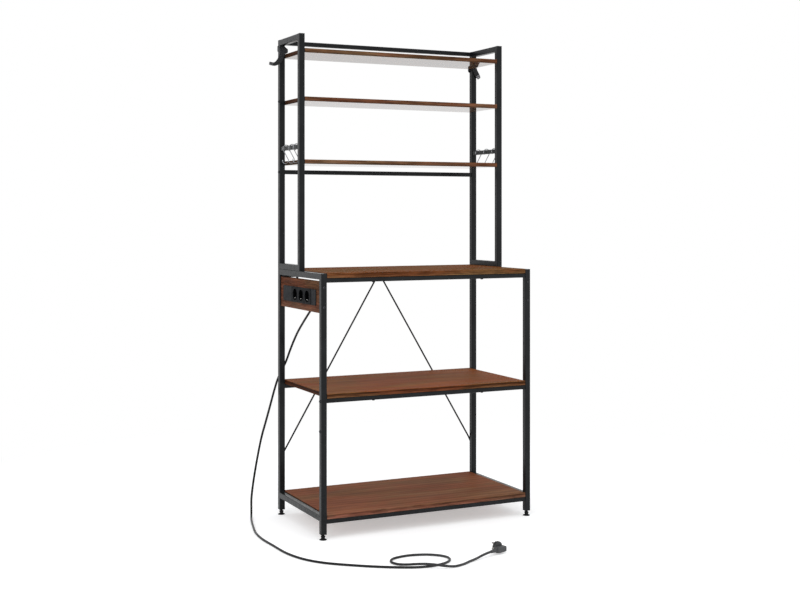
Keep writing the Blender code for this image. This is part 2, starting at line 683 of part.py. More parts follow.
def make_power_board(looks):
    """Wooden board between the left posts, with a rounded cut-out for the strip."""
    half = BASE_DEPTH / 2 - POST - SEAT_GAP
    low = (strip_x(0.0), -half, power_board_top - POWER_BOARD_HEIGHT)
    high = (strip_x(0.0) + POWER_BOARD_THICKNESS, half, power_board_top)
    bm = box(low, high)
    bmesh.ops.bevel(bm, geom=bm.edges, offset=BOARD_EDGE, segments=1, affect="EDGES")
    length = body_length + 2 * CUTOUT_CLEARANCE
    height = body_height + 2 * CUTOUT_CLEARANCE
    opening = shifted(rounded_rectangle(length, height, STRIP_CORNER), strip_centre)
    cut = prism("X", opening, low[0] - CUT_OVERRUN, high[0] + CUT_OVERRUN)
    combined("power_board", bm, [], [cut], looks["walnut"])


def cable_outlet(floor_z, bottom_z):
    """Wedge under the housing whose back face is square to the cord."""
    upright = Vector((0.0, math.sin(CORD_SLOPE), math.cos(CORD_SLOPE)))
    root = cord_start - cord_direction * (BOOT_LENGTH + 2 * SEAT_GAP)
    low = root - upright * OUTLET_RISE
    high = root + upright * ((floor_z - root.z) / upright.z)
    front = low + cord_direction * ((bottom_z - low.z) / cord_direction.z)
    outline = [(low.y, low.z), (high.y, high.z), (front.y, floor_z), (front.y, bottom_z)]
    return prism("X", outline, cord_start.x - OUTLET_WIDTH / 2, cord_start.x + OUTLET_WIDTH / 2)


def make_strip_housing(looks):
    """Tray behind the board with a rimmed flange in front of it and an angled cable outlet."""
    outer = shifted(rounded_rectangle(STRIP_LENGTH, STRIP_HEIGHT, STRIP_CORNER), strip_centre)
    inner = shifted(
        rounded_rectangle(
            STRIP_LENGTH - 2 * STRIP_RIM_WIDTH, STRIP_HEIGHT - 2 * STRIP_RIM_WIDTH,
            STRIP_CORNER - STRIP_RIM_WIDTH,
        ),
        strip_centre,
    )
    body = shifted(rounded_rectangle(body_length, body_height, STRIP_CORNER - STRIP_RIM_WIDTH), strip_centre)
    hollow = shifted(
        rounded_rectangle(
            body_length - 2 * HOUSING_WALL, body_height - 2 * HOUSING_WALL, STRIP_RIM_WIDTH,
        ),
        strip_centre,
    )
    rim_front = flange_front + STRIP_RIM_HEIGHT
    back = flange_front - HOUSING_DEPTH
    bottom = strip_level - body_height / 2
    combined(
        "strip_housing",
        prism("X", outer, strip_x(rim_front), strip_x(flange_back)),
        [
            prism("X", body, strip_x(flange_back + FLANGE_THICKNESS / 2), strip_x(back)),
            cable_outlet(bottom + HOUSING_WALL / 2, bottom),
        ],
        [
            prism("X", inner, strip_x(rim_front + CUT_OVERRUN), strip_x(flange_front)),
            prism("X", hollow, strip_x(flange_front + CUT_OVERRUN), strip_x(back + HOUSING_WALL)),
        ],
        looks["grey_plastic"],
    )


def socket_outline(centre):
    """Round recess with a guide rib standing in from each side."""
    edge = math.asin(GUIDE_RIB_WIDTH / 2 / SOCKET_RADIUS)
    half_steps = SOCKET_STEPS // 2
    reach = SOCKET_RADIUS - GUIDE_RIB_HEIGHT
    points = []
    for turn, way in ((0.0, -1), (math.pi, 1)):
        for step in range(half_steps + 1):
            angle = turn + edge + (math.pi - 2 * edge) * step / half_steps
            points.append((SOCKET_RADIUS * math.cos(angle), SOCKET_RADIUS * math.sin(angle)))
        points.append((way * reach, -way * GUIDE_RIB_WIDTH / 2))
        points.append((way * reach, way * GUIDE_RIB_WIDTH / 2))
    return shifted(points, centre)


socket_floor_front = block_front - SOCKET_DEPTH
socket_floor_back = socket_floor_front - SOCKET_FLOOR
socket_places = [block_centre + number * SOCKET_PITCH for number in (-1, 0, 1)]


def make_socket_block(looks):
    """Three-gang front plate with its round cups, contact holes, guide ribs and clip slots."""
    plate = shifted(rounded_rectangle(BLOCK_LENGTH, inside_height, cover_corner), (block_centre, strip_level))
    cup_radius = SOCKET_RADIUS + SOCKET_WALL
    behind = strip_x(socket_floor_back - CUT_OVERRUN)
    cups = []
    cuts = []
    for y in socket_places:
        cup = circle(cup_radius, SOCKET_STEPS, (y, strip_level))
        cups.append(prism("X", cup, strip_x(cover_back + BLOCK_THICKNESS / 2), strip_x(socket_floor_back)))
        recess = socket_outline((y, strip_level))
        cuts.append(prism("X", recess, strip_x(block_front + CUT_OVERRUN), strip_x(socket_floor_front)))
        for way in (-1, 1):
            hole = circle(CONTACT_HOLE_RADIUS, ROUND_STEPS // 2, (y + way * CONTACT_SPACING / 2, strip_level))
            cuts.append(prism("X", hole, strip_x(socket_floor_front + SOCKET_FLOOR), behind))
        for way in (-1, 1):
            inner = strip_level + way * (SOCKET_RADIUS - CLIP_BOW)
            outer = strip_level + way * (cup_radius + CUT_OVERRUN)
            cuts.append(box(
                (strip_x(cover_back - SEAT_GAP), y - CLIP_SLOT_WIDTH / 2, min(inner, outer)),
                (behind, y + CLIP_SLOT_WIDTH / 2, max(inner, outer)),
            ))
    start = prism("X", plate, strip_x(block_front), strip_x(cover_back))
    combined("socket_block", start, cups, cuts, looks["grey_plastic"])


def thick_line(points, thickness):
    """Outline of an open bent strip: its centre line, offset half a thickness to each side."""
    sides = ([], [])
    for index, point in enumerate(points):
        before = Vector(points[max(index - 1, 0)])
        after = Vector(points[min(index + 1, len(points) - 1)])
        here = Vector(point)
        first = (here - before).normalized() if index else (after - here).normalized()
        second = (after - here).normalized() if index < len(points) - 1 else first
        middle = (first + second).normalized()
        normal = Vector((-middle.y, middle.x))
        reach = thickness / 2 / max(middle.dot(first), MITRE_LEAST_SHARE)
        sides[0].append(tuple(here + normal * reach))
        sides[1].append(tuple(here - normal * reach))
    return sides[0] + sides[1][::-1]


def make_earth_clips(looks):
    """Sprung steel clip of each socket: a web behind the cup and a bowed prong at top and bottom."""
    prong = SOCKET_RADIUS + SOCKET_WALL / 2
    web = socket_floor_back - SEAT_GAP - CLIP_THICKNESS / 2
    tip = cover_back - CLIP_SETBACK
    inside = tip - web
    half = [
        (strip_x(tip), prong - CLIP_SINK),
        (strip_x(tip - inside / 4), prong - CLIP_BOW),
        (strip_x(tip - inside / 2), prong),
        (strip_x(web), prong),
    ]
    line = [(x, strip_level + z) for x, z in half] + [(x, strip_level - z) for x, z in half[::-1]]
    for number, y in enumerate(socket_places, start=1):
        outline = thick_line(line, CLIP_THICKNESS)
        rings = [
            [Vector((x, level, z)) for x, z in outline]
            for level in (y - CLIP_WIDTH / 2, y + CLIP_WIDTH / 2)
        ]
        add_object(f"earth_clip_{number}", loft(rings), looks["spring"])


def make_blank_plates(looks):
    """Plain cover plates that fill the strip on either side of the sockets."""
    ends = {
        "front": (STRIP_SHIFT - inside_length / 2, block_centre - BLOCK_LENGTH / 2 - SEAT_GAP),
        "back": (block_centre + BLOCK_LENGTH / 2 + SEAT_GAP, STRIP_SHIFT + inside_length / 2),
    }
    for word, (low, high) in ends.items():
        outline = rounded_rectangle(high - low, inside_height, cover_corner)
        centre = ((low + high) / 2, strip_level)
        bm = prism("X", shifted(outline, centre), strip_x(cover_back + BLANK_THICKNESS), strip_x(cover_back))
        add_object(f"blank_plate_{word}", bm, looks["grey_plastic"])


# Cord, boot and plug

def grooved_profile(root_radius, tip_radius, length, groove, grooves):
    """(radius, level) pairs of a tapered strain relief with square grooves round it."""
    cell = length / (2 * grooves + 1)
    profile = []
    for number in range(2 * grooves + 1):
        inset = groove if number % 2 else 0.0
        for level in (number * cell, (number + 1) * cell):
            radius = root_radius + (tip_radius - root_radius) * level / length - inset
            profile.append((radius, level))
    return profile


def make_cord_boot(looks):
    """Moulded boot between the strip's outlet and the cord."""
    profile = grooved_profile(BOOT_ROOT_RADIUS, BOOT_TIP_RADIUS, BOOT_LENGTH, BOOT_GROOVE, 2)
    start = cord_start - cord_direction * (BOOT_LENGTH + SEAT_GAP)
    turn = cord_direction.to_track_quat("Z", "Y").to_euler()
    add_object("cord_boot", turned(profile, ROUND_STEPS // 2), looks["black_plastic"], start, turn)


def plug_place(x, y, z):
    """World place of a point given on the plug: +Y along its pins, +Z up."""
    turn = Matrix.Rotation(PLUG_TURN, 4, "Z")
    return turn @ Vector((x, y, z)) + Vector((*PLUG_SPOT, PLUG_FACE_RADIUS))


def smooth_points(points, count):
    """Points evenly spaced along a centripetal curve through the given points."""
    fine = []
    padded = [points[0] * 2 - points[1]] + points + [points[-1] * 2 - points[-2]]
    for index in range(1, len(padded) - 2):
        p0, p1, p2, p3 = padded[index - 1:index + 3]
        t1 = (p1 - p0).length ** 0.5
        t2 = t1 + (p2 - p1).length ** 0.5
        t3 = t2 + (p3 - p2).length ** 0.5
        for step in range(CORD_STEPS):
            t = t1 + (t2 - t1) * step / CORD_STEPS
            a1 = p0 * ((t1 - t) / t1) + p1 * (t / t1)
            a2 = p1 * ((t2 - t) / (t2 - t1)) + p2 * ((t - t1) / (t2 - t1))
            a3 = p2 * ((t3 - t) / (t3 - t2)) + p3 * ((t - t2) / (t3 - t2))
            b1 = a1 * ((t2 - t) / t2) + a2 * (t / t2)
            b2 = a2 * ((t3 - t) / (t3 - t1)) + a3 * ((t - t1) / (t3 - t1))
            fine.append(b1 * ((t2 - t) / (t2 - t1)) + b2 * ((t - t1) / (t2 - t1)))
    fine.append(points[-1])
    lengths = [0.0]
    for before, after in zip(fine, fine[1:]):
        lengths.append(lengths[-1] + (after - before).length)
    spaced = []
    cursor = 0
    for number in range(count):
        wanted = lengths[-1] * number / (count - 1)
        while cursor < len(lengths) - 2 and lengths[cursor + 1] < wanted:
            cursor += 1
        span = lengths[cursor + 1] - lengths[cursor]
        spaced.append(fine[cursor].lerp(fine[cursor + 1], (wanted - lengths[cursor]) / span))
    return spaced


def cord_route():
    """Points of the cord from its boot to its plug, closer together round the loop."""
    exit_length = 5 * CORD_RADIUS
    start = [cord_start, cord_start + cord_direction * exit_length]
    boot_end = -PLUG_GRIP_LENGTH / 2 - PLUG_BOOT_LENGTH
    end = plug_place(boot_end - SEAT_GAP, -PLUG_GRIP_DEPTH / 2, -PLUG_GRIP_DROP)
    before_end = plug_place(boot_end - exit_length, -PLUG_GRIP_DEPTH / 2, -PLUG_GRIP_DROP - CORD_RADIUS / 4)
    route = start + [Vector(point) for point in CORD_HANG + CORD_FLOOR + CORD_LOOP + CORD_END]
    route += [before_end, end]
    loop_from = len(start) + len(CORD_HANG) + len(CORD_FLOOR)
    loop_to = loop_from + len(CORD_LOOP)
    fine = smooth_points(route, CORD_FINE_STEPS)
    first = nearest_index(fine, route[loop_from])
    last = nearest_index(fine, route[loop_to])
    middle = (first + last) // 2
    first = nearest_index(fine[:middle], route[loop_from])
    last = middle + nearest_index(fine[middle:], route[loop_to])
    return (
        thinned(fine[:first + 1], CORD_RUN_STEPS)[:-1]
        + thinned(fine[first:last + 1], CORD_LOOP_STEPS)[:-1]
        + thinned(fine[last:], CORD_END_STEPS)
    )


def nearest_index(points, target):
    """Index of the point that lies nearest to a target."""
    return min(range(len(points)), key=lambda index: (points[index] - target).length)


def thinned(points, count):
    """A given number of points, evenly picked from many."""
    return [points[round(number * (len(points) - 1) / (count - 1))] for number in range(count)]


def least_self_gap(points):
    """Least gap between stretches of the cord that lie over eight diameters apart along it."""
    far = 16 * CORD_RADIUS
    fine = smooth_points(points, 3 * len(points))
    lengths = [0.0]
    for before, after in zip(fine, fine[1:]):
        lengths.append(lengths[-1] + (after - before).length)
    least = 2 * WIDTH
    for index, point in enumerate(fine):
        for other in range(index + 1, len(fine)):
            if lengths[other] - lengths[index] > far:
                least = min(least, (point - fine[other]).length)
    return least - 2 * CORD_RADIUS


def make_cord(looks):
    """The power cord as a round tube along its route."""
    points = cord_route()
    curve = bpy.data.curves.new("power_cord", "CURVE")
    curve.dimensions = "3D"
    curve.bevel_depth = CORD_RADIUS
    curve.bevel_resolution = 2
    curve.use_fill_caps = True
    spline = curve.splines.new("POLY")
    spline.points.add(len(points) - 1)
    for slot, point in zip(spline.points, points):
        slot.co = (*point, 1.0)
    place_curve("power_cord", curve, looks["cord"])
    length = sum((after - before).length for before, after in zip(points, points[1:]))
    print(f"power cord: {len(points)} points, {length:.3f} m long")
    print(f"power cord: least gap to itself {least_self_gap(points) / MM:.2f} mm")


def place_curve(name, curve, look):
    """Add a curve object that holds this curve."""
    curve.materials.append(look)
    made = bpy.data.objects.new(name, curve)
    bpy.context.scene.collection.objects.link(made)
    return made


def make_plug(looks):
    """Right-angle plug: round face with guide grooves in line with its pins, gripping block and boot."""
    spot = (*PLUG_SPOT, PLUG_FACE_RADIUS)
    turn = (0.0, 0.0, PLUG_TURN)
    face = turned(
        (
            (PLUG_FACE_RADIUS - PLUG_EDGE, 0.0),
            (PLUG_FACE_RADIUS, PLUG_EDGE),
            (PLUG_FACE_RADIUS, PLUG_FACE_DEPTH),
        ),
        SOCKET_STEPS, "Y",
    )
    grip_line, slim_line = (
        [(x, z - PLUG_GRIP_DROP) for x, z in rounded_rectangle(
            PLUG_GRIP_LENGTH - less, PLUG_GRIP_HEIGHT - less, PLUG_GRIP_CORNER - less / 2,
        )]
        for less in (0.0, 2 * PLUG_EDGE)
    )
    boot_centre = (-PLUG_GRIP_DEPTH / 2, -PLUG_GRIP_DROP)
    grip = loft([
        along("Y", slim_line, -PLUG_GRIP_DEPTH),
        along("Y", grip_line, -PLUG_GRIP_DEPTH + PLUG_EDGE),
        along("Y", grip_line, PLUG_EDGE),
    ])
    boot = loft([
        along("X", circle(radius, ROUND_STEPS // 2, boot_centre), -PLUG_GRIP_LENGTH / 2 - level)
        for radius, level in [(PLUG_BOOT_ROOT_RADIUS, -PLUG_GRIP_CORNER)] + grooved_profile(
            PLUG_BOOT_ROOT_RADIUS, PLUG_BOOT_TIP_RADIUS, PLUG_BOOT_LENGTH, BOOT_GROOVE, 3,
        )
    ])
    cuts = []
    for way in (-1, 1):
        inner = way * (PLUG_FACE_RADIUS - PLUG_GROOVE_DEPTH)
        outer = way * (PLUG_FACE_RADIUS + CUT_OVERRUN)
        cuts.append(box(
            (-PLUG_GROOVE_WIDTH / 2, PLUG_EDGE, min(inner, outer)),
            (PLUG_GROOVE_WIDTH / 2, PLUG_FACE_DEPTH + CUT_OVERRUN, max(inner, outer)),
        ))
        hole = circle(PLUG_PIN_RADIUS + SEAT_GAP, ROUND_STEPS // 2, (0.0, way * CONTACT_SPACING / 2))
        cuts.append(prism(
            "Y", hole, PLUG_FACE_DEPTH - PLUG_PIN_SOCKET - SEAT_GAP, PLUG_FACE_DEPTH + CUT_OVERRUN,
        ))
    combined("plug_body", face, [grip, boot], cuts, looks["black_plastic"], spot, turn)
    tip = PLUG_FACE_DEPTH + PLUG_PIN_LENGTH
    profile = (
        (PLUG_PIN_RADIUS, PLUG_FACE_DEPTH - PLUG_PIN_SOCKET),
        (PLUG_PIN_RADIUS, tip - PLUG_PIN_RADIUS),
        (PLUG_PIN_RADIUS * math.cos(PLUG_PIN_ROUND), tip - PLUG_PIN_RADIUS * (1 - math.sin(PLUG_PIN_ROUND))),
        (PLUG_PIN_RADIUS * math.sin(PLUG_PIN_ROUND), tip - PLUG_PIN_RADIUS * (1 - math.cos(PLUG_PIN_ROUND))),
    )
    for word, way in (("lower", -1), ("upper", 1)):
        pin = turned(profile, ROUND_STEPS // 2, "Y", (0.0, way * CONTACT_SPACING / 2))
        add_object(f"plug_pin_{word}", pin, looks["nickel"], spot, turn)


# S-hooks

bar_corner_x = RAIL / 2 - RAIL_CORNER
hook_reach = HOOK_UPPER_BEND - HOOK_WIRE_RADIUS - RAIL_CORNER - SEAT_GAP
hook_pivot_level = hook_bar_level + RAIL - RAIL_CORNER - math.sqrt(hook_reach ** 2 - bar_corner_x ** 2)


def hook_line():
    """Centre line of an S-hook from its inner tip to its outer one, as (outward, up) from its pivot."""
    lower = Vector((HOOK_LOWER_OFFSET, -HOOK_DROP))
    way = lower.normalized()
    across = Vector((-way.y, way.x))
    lean = math.asin((HOOK_UPPER_BEND + HOOK_LOWER_BEND) / lower.length)
    touch = across * math.cos(lean) + way * math.sin(lean)
    leave = math.atan2(touch.y, touch.x)
    points = []
    for step in range(HOOK_ARC_STEPS + 1):
        angle = HOOK_UPPER_TIP + (leave - HOOK_UPPER_TIP) * step / HOOK_ARC_STEPS
        points.append(Vector((math.cos(angle), math.sin(angle))) * HOOK_UPPER_BEND)
    for step in range(HOOK_ARC_STEPS + 1):
        angle = leave + math.pi + (HOOK_LOWER_TIP - leave - math.pi) * step / HOOK_ARC_STEPS
        points.append(lower + Vector((math.cos(angle), math.sin(angle))) * HOOK_LOWER_BEND)
    return points


def make_hooks(looks):
    """Three S-hooks over each hook bar. Each one's origin is the axis that it swings about."""
    for word, side, insets in (("left", LEFT, HOOK_INSETS_LEFT), ("right", RIGHT, HOOK_INSETS_RIGHT)):
        for number, inset in enumerate(insets, start=1):
            name = f"s_hook_{word}_{number}"
            curve = bpy.data.curves.new(name, "CURVE")
            curve.dimensions = "3D"
            curve.bevel_depth = HOOK_WIRE_RADIUS
            curve.bevel_resolution = 2
            curve.use_fill_caps = True
            spline = curve.splines.new("POLY")
            line = hook_line()
            spline.points.add(len(line) - 1)
            for slot, (outward, up) in zip(spline.points, line):
                slot.co = (side * outward, 0.0, up, 1.0)
            hook = place_curve(name, curve, looks["chrome"])
            hook.location = (side * post_x, hutch_front + inset, hook_pivot_level)


# Wall straps

strap_hug = POST / 2 + SEAT_GAP + STRAP_THICKNESS / 2


def strap_loop():
    """Places along a strap's loop, as (outward, back) from the post's axis.

    It starts across the post's front, bulges inward, goes behind and ends on the outer side.
    """
    hug = strap_hug
    corner = hug * STRAP_CORNER_SHARE
    return [
        (hug / 2, -hug),
        (0.0, -hug),
        (-hug, -hug),
        (-hug - STRAP_SLACK, -hug / 4),
        (-corner, corner),
        (0.0, hug),
        (corner, corner),
        (hug, 0.0),
        (hug, -hug / 2),
    ]


def make_strap(word, side, level, tail, plate_spot, plate_turn, looks):
    """One webbing loop with its hanging tail, and the small drilled plate at the tail's end."""
    centre = Vector((side * post_x, back_post_y, level))
    places = [Vector((side * outward, back, 0.0)) for outward, back in strap_loop()]
    line = smooth_points(places, STRAP_STEPS * (len(places) - 1) + 1)
    outline = thick_line([(place.x, place.y) for place in line], STRAP_THICKNESS)
    band = prism("Z", outline, -STRAP_WIDTH / 2, STRAP_WIDTH / 2)
    front = -strap_hug - STRAP_THICKNESS / 2
    tail_line = thick_line([(side * outward, up) for outward, up in tail], STRAP_TAIL_WIDTH)
    hanging = prism("Y", tail_line, front - STRAP_THICKNESS, front + STRAP_TAIL_SINK)
    combined(f"wall_strap_{word}", band, [hanging], [], looks["webbing"], centre)
    plate_line = rounded_rectangle(STRAP_PLATE, STRAP_PLATE, STRAP_PLATE_CORNER)
    plate = prism("Y", plate_line, -STRAP_PLATE_THICKNESS / 2, STRAP_PLATE_THICKNESS / 2)
    hole = circle(STRAP_PLATE_HOLE_RADIUS, ROUND_STEPS // 2)
    cut = prism("Y", hole, -CUT_OVERRUN, CUT_OVERRUN)
    plate_back = front - STRAP_THICKNESS - SEAT_GAP
    spot = centre + Vector((side * plate_spot[0], plate_back - STRAP_PLATE_THICKNESS / 2, plate_spot[1]))
    turn = (0.0, -side * plate_turn, 0.0)
    combined(f"strap_plate_{word}", plate, [], [cut], looks["zinc"], spot, turn)


def make_straps(looks):
    """A strap round each back post of the hutch, the left above the top shelf and the right below it."""
    above = top_shelf_level + SHELF_THICKNESS + STRAP_SHELF_GAP + STRAP_WIDTH / 2
    below = top_shelf_level - STRAP_SHELF_GAP - STRAP_WIDTH / 2
    make_strap("left", LEFT, above, LEFT_STRAP_TAIL, LEFT_PLATE_SPOT, LEFT_PLATE_TURN, looks)
    make_strap("right", RIGHT, below, RIGHT_STRAP_TAIL, RIGHT_PLATE_SPOT, RIGHT_PLATE_TURN, looks)


def build():
    """Empty the scene and model the whole rack."""
    for old in list(bpy.data.objects):
        bpy.data.objects.remove(old)
    looks = make_materials()
    make_frames(looks)
    make_boards(looks)
    make_hutch_bolts(looks)
    make_braces(looks)
    make_feet(looks)
    make_power_board(looks)
    make_strip_housing(looks)
    make_socket_block(looks)
    make_earth_clips(looks)
    make_blank_plates(looks)
    make_cord_boot(looks)
    make_cord(looks)
    make_plug(looks)
    make_hooks(looks)
    make_straps(looks)
    stand = bpy.data.objects.new("kitchen_rack", None)
    bpy.context.scene.collection.objects.link(stand)
    for made in bpy.data.objects:
        if made is not stand:
            made.parent = stand


build()
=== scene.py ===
"""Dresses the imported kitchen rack: camera, cord, straps, fittings, materials and a plain studio.

Units are metres, in the frame of the CAD model. The rack's front faces -Y.
"""
import json
import math

import bmesh
import bpy
from mathutils import Matrix, Vector


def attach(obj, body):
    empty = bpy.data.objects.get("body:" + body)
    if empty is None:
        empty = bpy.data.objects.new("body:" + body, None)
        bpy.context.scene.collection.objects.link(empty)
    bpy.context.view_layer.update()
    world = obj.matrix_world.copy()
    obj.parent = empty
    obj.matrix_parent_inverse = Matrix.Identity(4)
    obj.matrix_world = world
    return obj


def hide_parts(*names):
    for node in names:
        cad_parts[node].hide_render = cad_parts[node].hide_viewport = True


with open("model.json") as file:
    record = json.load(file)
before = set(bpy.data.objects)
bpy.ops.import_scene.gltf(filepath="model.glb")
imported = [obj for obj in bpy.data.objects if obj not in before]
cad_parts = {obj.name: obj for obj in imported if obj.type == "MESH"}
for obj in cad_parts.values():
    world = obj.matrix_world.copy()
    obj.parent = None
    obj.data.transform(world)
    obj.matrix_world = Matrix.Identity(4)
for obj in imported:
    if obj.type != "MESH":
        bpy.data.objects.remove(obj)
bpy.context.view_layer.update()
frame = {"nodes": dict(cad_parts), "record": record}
nodes = frame["nodes"]
LEFT, RIGHT = -1, 1
SIDES = (("left", LEFT), ("right", RIGHT))

# Sizes repeated from the CAD source
POST_X = 0.390
POST_HALF = 0.010
BASE_POST_Y = 0.195
HUTCH_FRONT_POST_Y = 0.003
BACK_POST_Y = 0.195
SOCKET_PLACES = (-0.074, -0.018, 0.038)
STRIP_LEVEL = 0.79355
SOCKET_FRONT = -0.3996
SOCKET_BACK = -0.3805
PLUG_AT = Vector((0.0490, -0.5834, 0.0185))
PLUG_TURN = Matrix.Rotation(math.radians(18), 4, "Z")


# Camera

CAMERA_PLACE = (-1.9622, -4.0267, 1.0791)
CAMERA_TURN = -0.4457
CAMERA_LENS = 56.61
CAMERA_SENSOR = 36.0
CAMERA_SHIFT = (0.0075, -0.1105)
CAMERA_REACH = 60.0


def make_camera():
    """The photograph's camera: level, turned to the left of the front, with a shifted frame."""
    data = bpy.data.cameras.new("photo_camera")
    data.sensor_width = CAMERA_SENSOR
    data.lens = CAMERA_LENS
    data.shift_x, data.shift_y = CAMERA_SHIFT
    data.clip_end = CAMERA_REACH
    camera = bpy.data.objects.new("photo_camera", data)
    camera.location = CAMERA_PLACE
    camera.rotation_euler = (math.pi / 2, 0.0, CAMERA_TURN)
    bpy.context.scene.collection.objects.link(camera)
    bpy.context.scene.camera = camera


make_camera()


# Node materials

# Most values of a noise texture lie within this range
NOISE_SPREAD = (0.3, 0.7)


def node(tree, kind, inputs=None, **settings):
    """Add a shader node. An input given as a socket is linked, and any other is set."""
    made = tree.nodes.new("ShaderNode" + kind)
    for key, value in settings.items():
        setattr(made, key, value)
    for key, value in (inputs or {}).items():
        if isinstance(value, bpy.types.NodeSocket):
            tree.links.new(value, made.inputs[key])
        else:
            made.inputs[key].default_value = value
    return made


def new_look(name, roughness=0.5, metallic=0.0, specular=0.5):
    """A new Principled material: (material, tree, shader, object coordinates)."""
    made = bpy.data.materials.new(name)
    made.use_nodes = True
    tree = made.node_tree
    shader = tree.nodes["Principled BSDF"]
    shader.inputs["Roughness"].default_value = roughness
    shader.inputs["Metallic"].default_value = metallic
    shader.inputs["Specular IOR Level"].default_value = specular
    coords = node(tree, "TexCoord").outputs["Object"]
    return made, tree, shader, coords


def stretched(tree, coords, scale, turn=(0.0, 0.0, 0.0), shift=(0.0, 0.0, 0.0)):
    """Coordinates scaled by a different amount on each axis, turned and shifted."""
    inputs = {"Vector": coords, "Location": shift, "Rotation": turn, "Scale": scale}
    return node(tree, "Mapping", inputs).outputs[0]


def noise_of(tree, coords, scale, detail=4.0, roughness=0.55, distortion=0.0):
    """Value of a noise texture."""
    return node(tree, "TexNoise", {
        "Vector": coords, "Scale": scale, "Detail": detail, "Roughness": roughness, "Distortion": distortion,
    }).outputs[0]


def calculated(tree, operation, first, second=0.0, third=None):
    """Result of a math node."""
    inputs = {0: first, 1: second}
    if third is not None:
        inputs[2] = third
    return node(tree, "Math", inputs, operation=operation).outputs[0]


def ranged(tree, value, low, high, out_low=0.0, out_high=1.0, smooth=True):
    """Value mapped from one range to another, clamped."""
    return node(tree, "MapRange", {
        "Value": value, "From Min": low, "From Max": high, "To Min": out_low, "To Max": out_high,
    }, interpolation_type="SMOOTHSTEP" if smooth else "LINEAR").outputs[0]


def ramp(tree, value, stops):
    """Colour ramp through (place, colour) stops."""
    made = node(tree, "ValToRGB", {"Fac": value})
    elements = made.color_ramp.elements
    while len(elements) < len(stops):
        elements.new(0.5)
    for element, (place, colour) in zip(elements, stops):
        element.position = place
        element.color = (*colour, 1.0)
    return made.outputs[0]


def mixed(tree, factor, first, second, blend="MIX"):
    """Two colours mixed. Each is a socket or three numbers."""
    colours = {
        index: colour if isinstance(colour, bpy.types.NodeSocket) else (*colour, 1.0)
        for index, colour in ((6, first), (7, second))
    }
    made = node(tree, "Mix", {0: factor, **colours}, data_type="RGBA", blend_type=blend)
    return made.outputs[2]


def scaled(colour, share):
    """A colour with each part multiplied by a share."""
    return tuple(part * share for part in colour)


def bumped(tree, shader, height, strength, distance):
    """Set the shader's normal from a height."""
    bump = node(tree, "Bump", {"Height": height, "Strength": strength, "Distance": distance})
    tree.links.new(bump.outputs[0], shader.inputs["Normal"])


def wire(tree, socket, shader, name):
    """Link a socket to a named input of the shader."""
    tree.links.new(socket, shader.inputs[name])


def powder_coat(name, colour=(0.0085, 0.0095, 0.0105), roughness=0.27, specular=0.16):
    """Matte powder coat: tiny orange peel, faint mottling and uneven gloss."""
    made, tree, shader, coords = new_look(name, roughness, specular=specular)
    mottle = noise_of(tree, coords, scale=14.0, detail=5.0, roughness=0.6)
    stops = ((0.3, scaled(colour, 0.7)), (0.5, colour), (0.75, scaled(colour, 1.5)))
    wire(tree, ramp(tree, mottle, stops), shader, "Base Color")
    sheen = noise_of(tree, coords, scale=60.0)
    wire(tree, ranged(tree, sheen, *NOISE_SPREAD, roughness - 0.06, roughness + 0.08), shader, "Roughness")
    peel = noise_of(tree, coords, scale=1500.0, detail=2.0, roughness=0.5)
    bumped(tree, shader, peel, strength=0.07, distance=0.0002)
    return made


# The wood's two hues: (tone, colour) stops
RED_GRAIN = (
    (0.32, (0.104, 0.030, 0.0115)), (0.46, (0.176, 0.057, 0.023)),
    (0.54, (0.222, 0.078, 0.032)), (0.68, (0.305, 0.124, 0.059)),
)
OLIVE_GRAIN = (
    (0.32, (0.090, 0.034, 0.013)), (0.46, (0.152, 0.064, 0.025)),
    (0.54, (0.190, 0.087, 0.035)), (0.68, (0.262, 0.136, 0.063)),
)
# Places up a board's edge, and the hue at each: the edge foil's own hue, with painted light and shade across
# the edge
EDGE_HUES = (
    (0.00, (0.90, 1.18, 1.85)), (0.35, (0.88, 0.92, 1.30)),
    (0.72, (0.86, 0.88, 1.15)), (0.97, (0.86, 0.95, 1.25)),
)
# Each layer of the grain: stretch along and across it, scale, detail, roughness and distortion
GRAIN_LAYERS = {
    "drift": ((1.2, 3.6, 3.6), 2.4, 3.0, 0.50, 0.7),
    "broad": ((1.1, 7.0, 7.0), 2.2, 4.0, 0.55, 0.6),
    "streak": ((1.3, 34.0, 34.0), 3.0, 9.0, 0.66, 0.5),
    "fine": ((2.2, 190.0, 190.0), 5.0, 3.0, 0.60, 0.0),
    "pores": ((9.0, 260.0, 260.0), 6.0, 2.0, 0.50, 0.0),
    "knots": ((2.4, 9.0, 9.0), 1.5, 2.0, 0.50, 1.2),
    "flecks": ((5.0, 40.0, 110.0), 3.0, 3.0, 0.60, 0.0),
}
WAVE_STRETCH = (0.3, 3.6, 3.6)
# What each layer adds to the tone
TONE_SHARES = {"broad": 0.36, "wave": 0.10, "streak": 0.38, "fine": 0.16}
# Range of a layer, and what it multiplies the colour by at each end of the range
SHADE_RANGES = {
    "pores": (0.56, 0.68, 1.0, 0.7),
    "knots": (0.66, 0.76, 1.0, 0.62),
    "flecks": (0.38, 0.62, 0.60, 1.35),
}
OLIVE_RANGE = (0.42, 0.60)
FINE_RELIEF = 0.6
# How far a board's seed shifts its grain on each axis
SEED_SHARES = (1.0, 0.7, 0.3)
# Parts of a unit normal: along the grain at an end face, up at an edge and at a flat face, and down
# where the underside's coat begins and where it is whole
END_NORMAL = 0.7
EDGE_NORMAL, FLAT_NORMAL = 0.5, 0.8
COAT_NORMALS = (-0.85, -0.95)
# A colour ramp holds nothing above 1, so edge shares are halved in it and doubled again after it
HALF_GREY = (0.5, 0.5, 0.5)


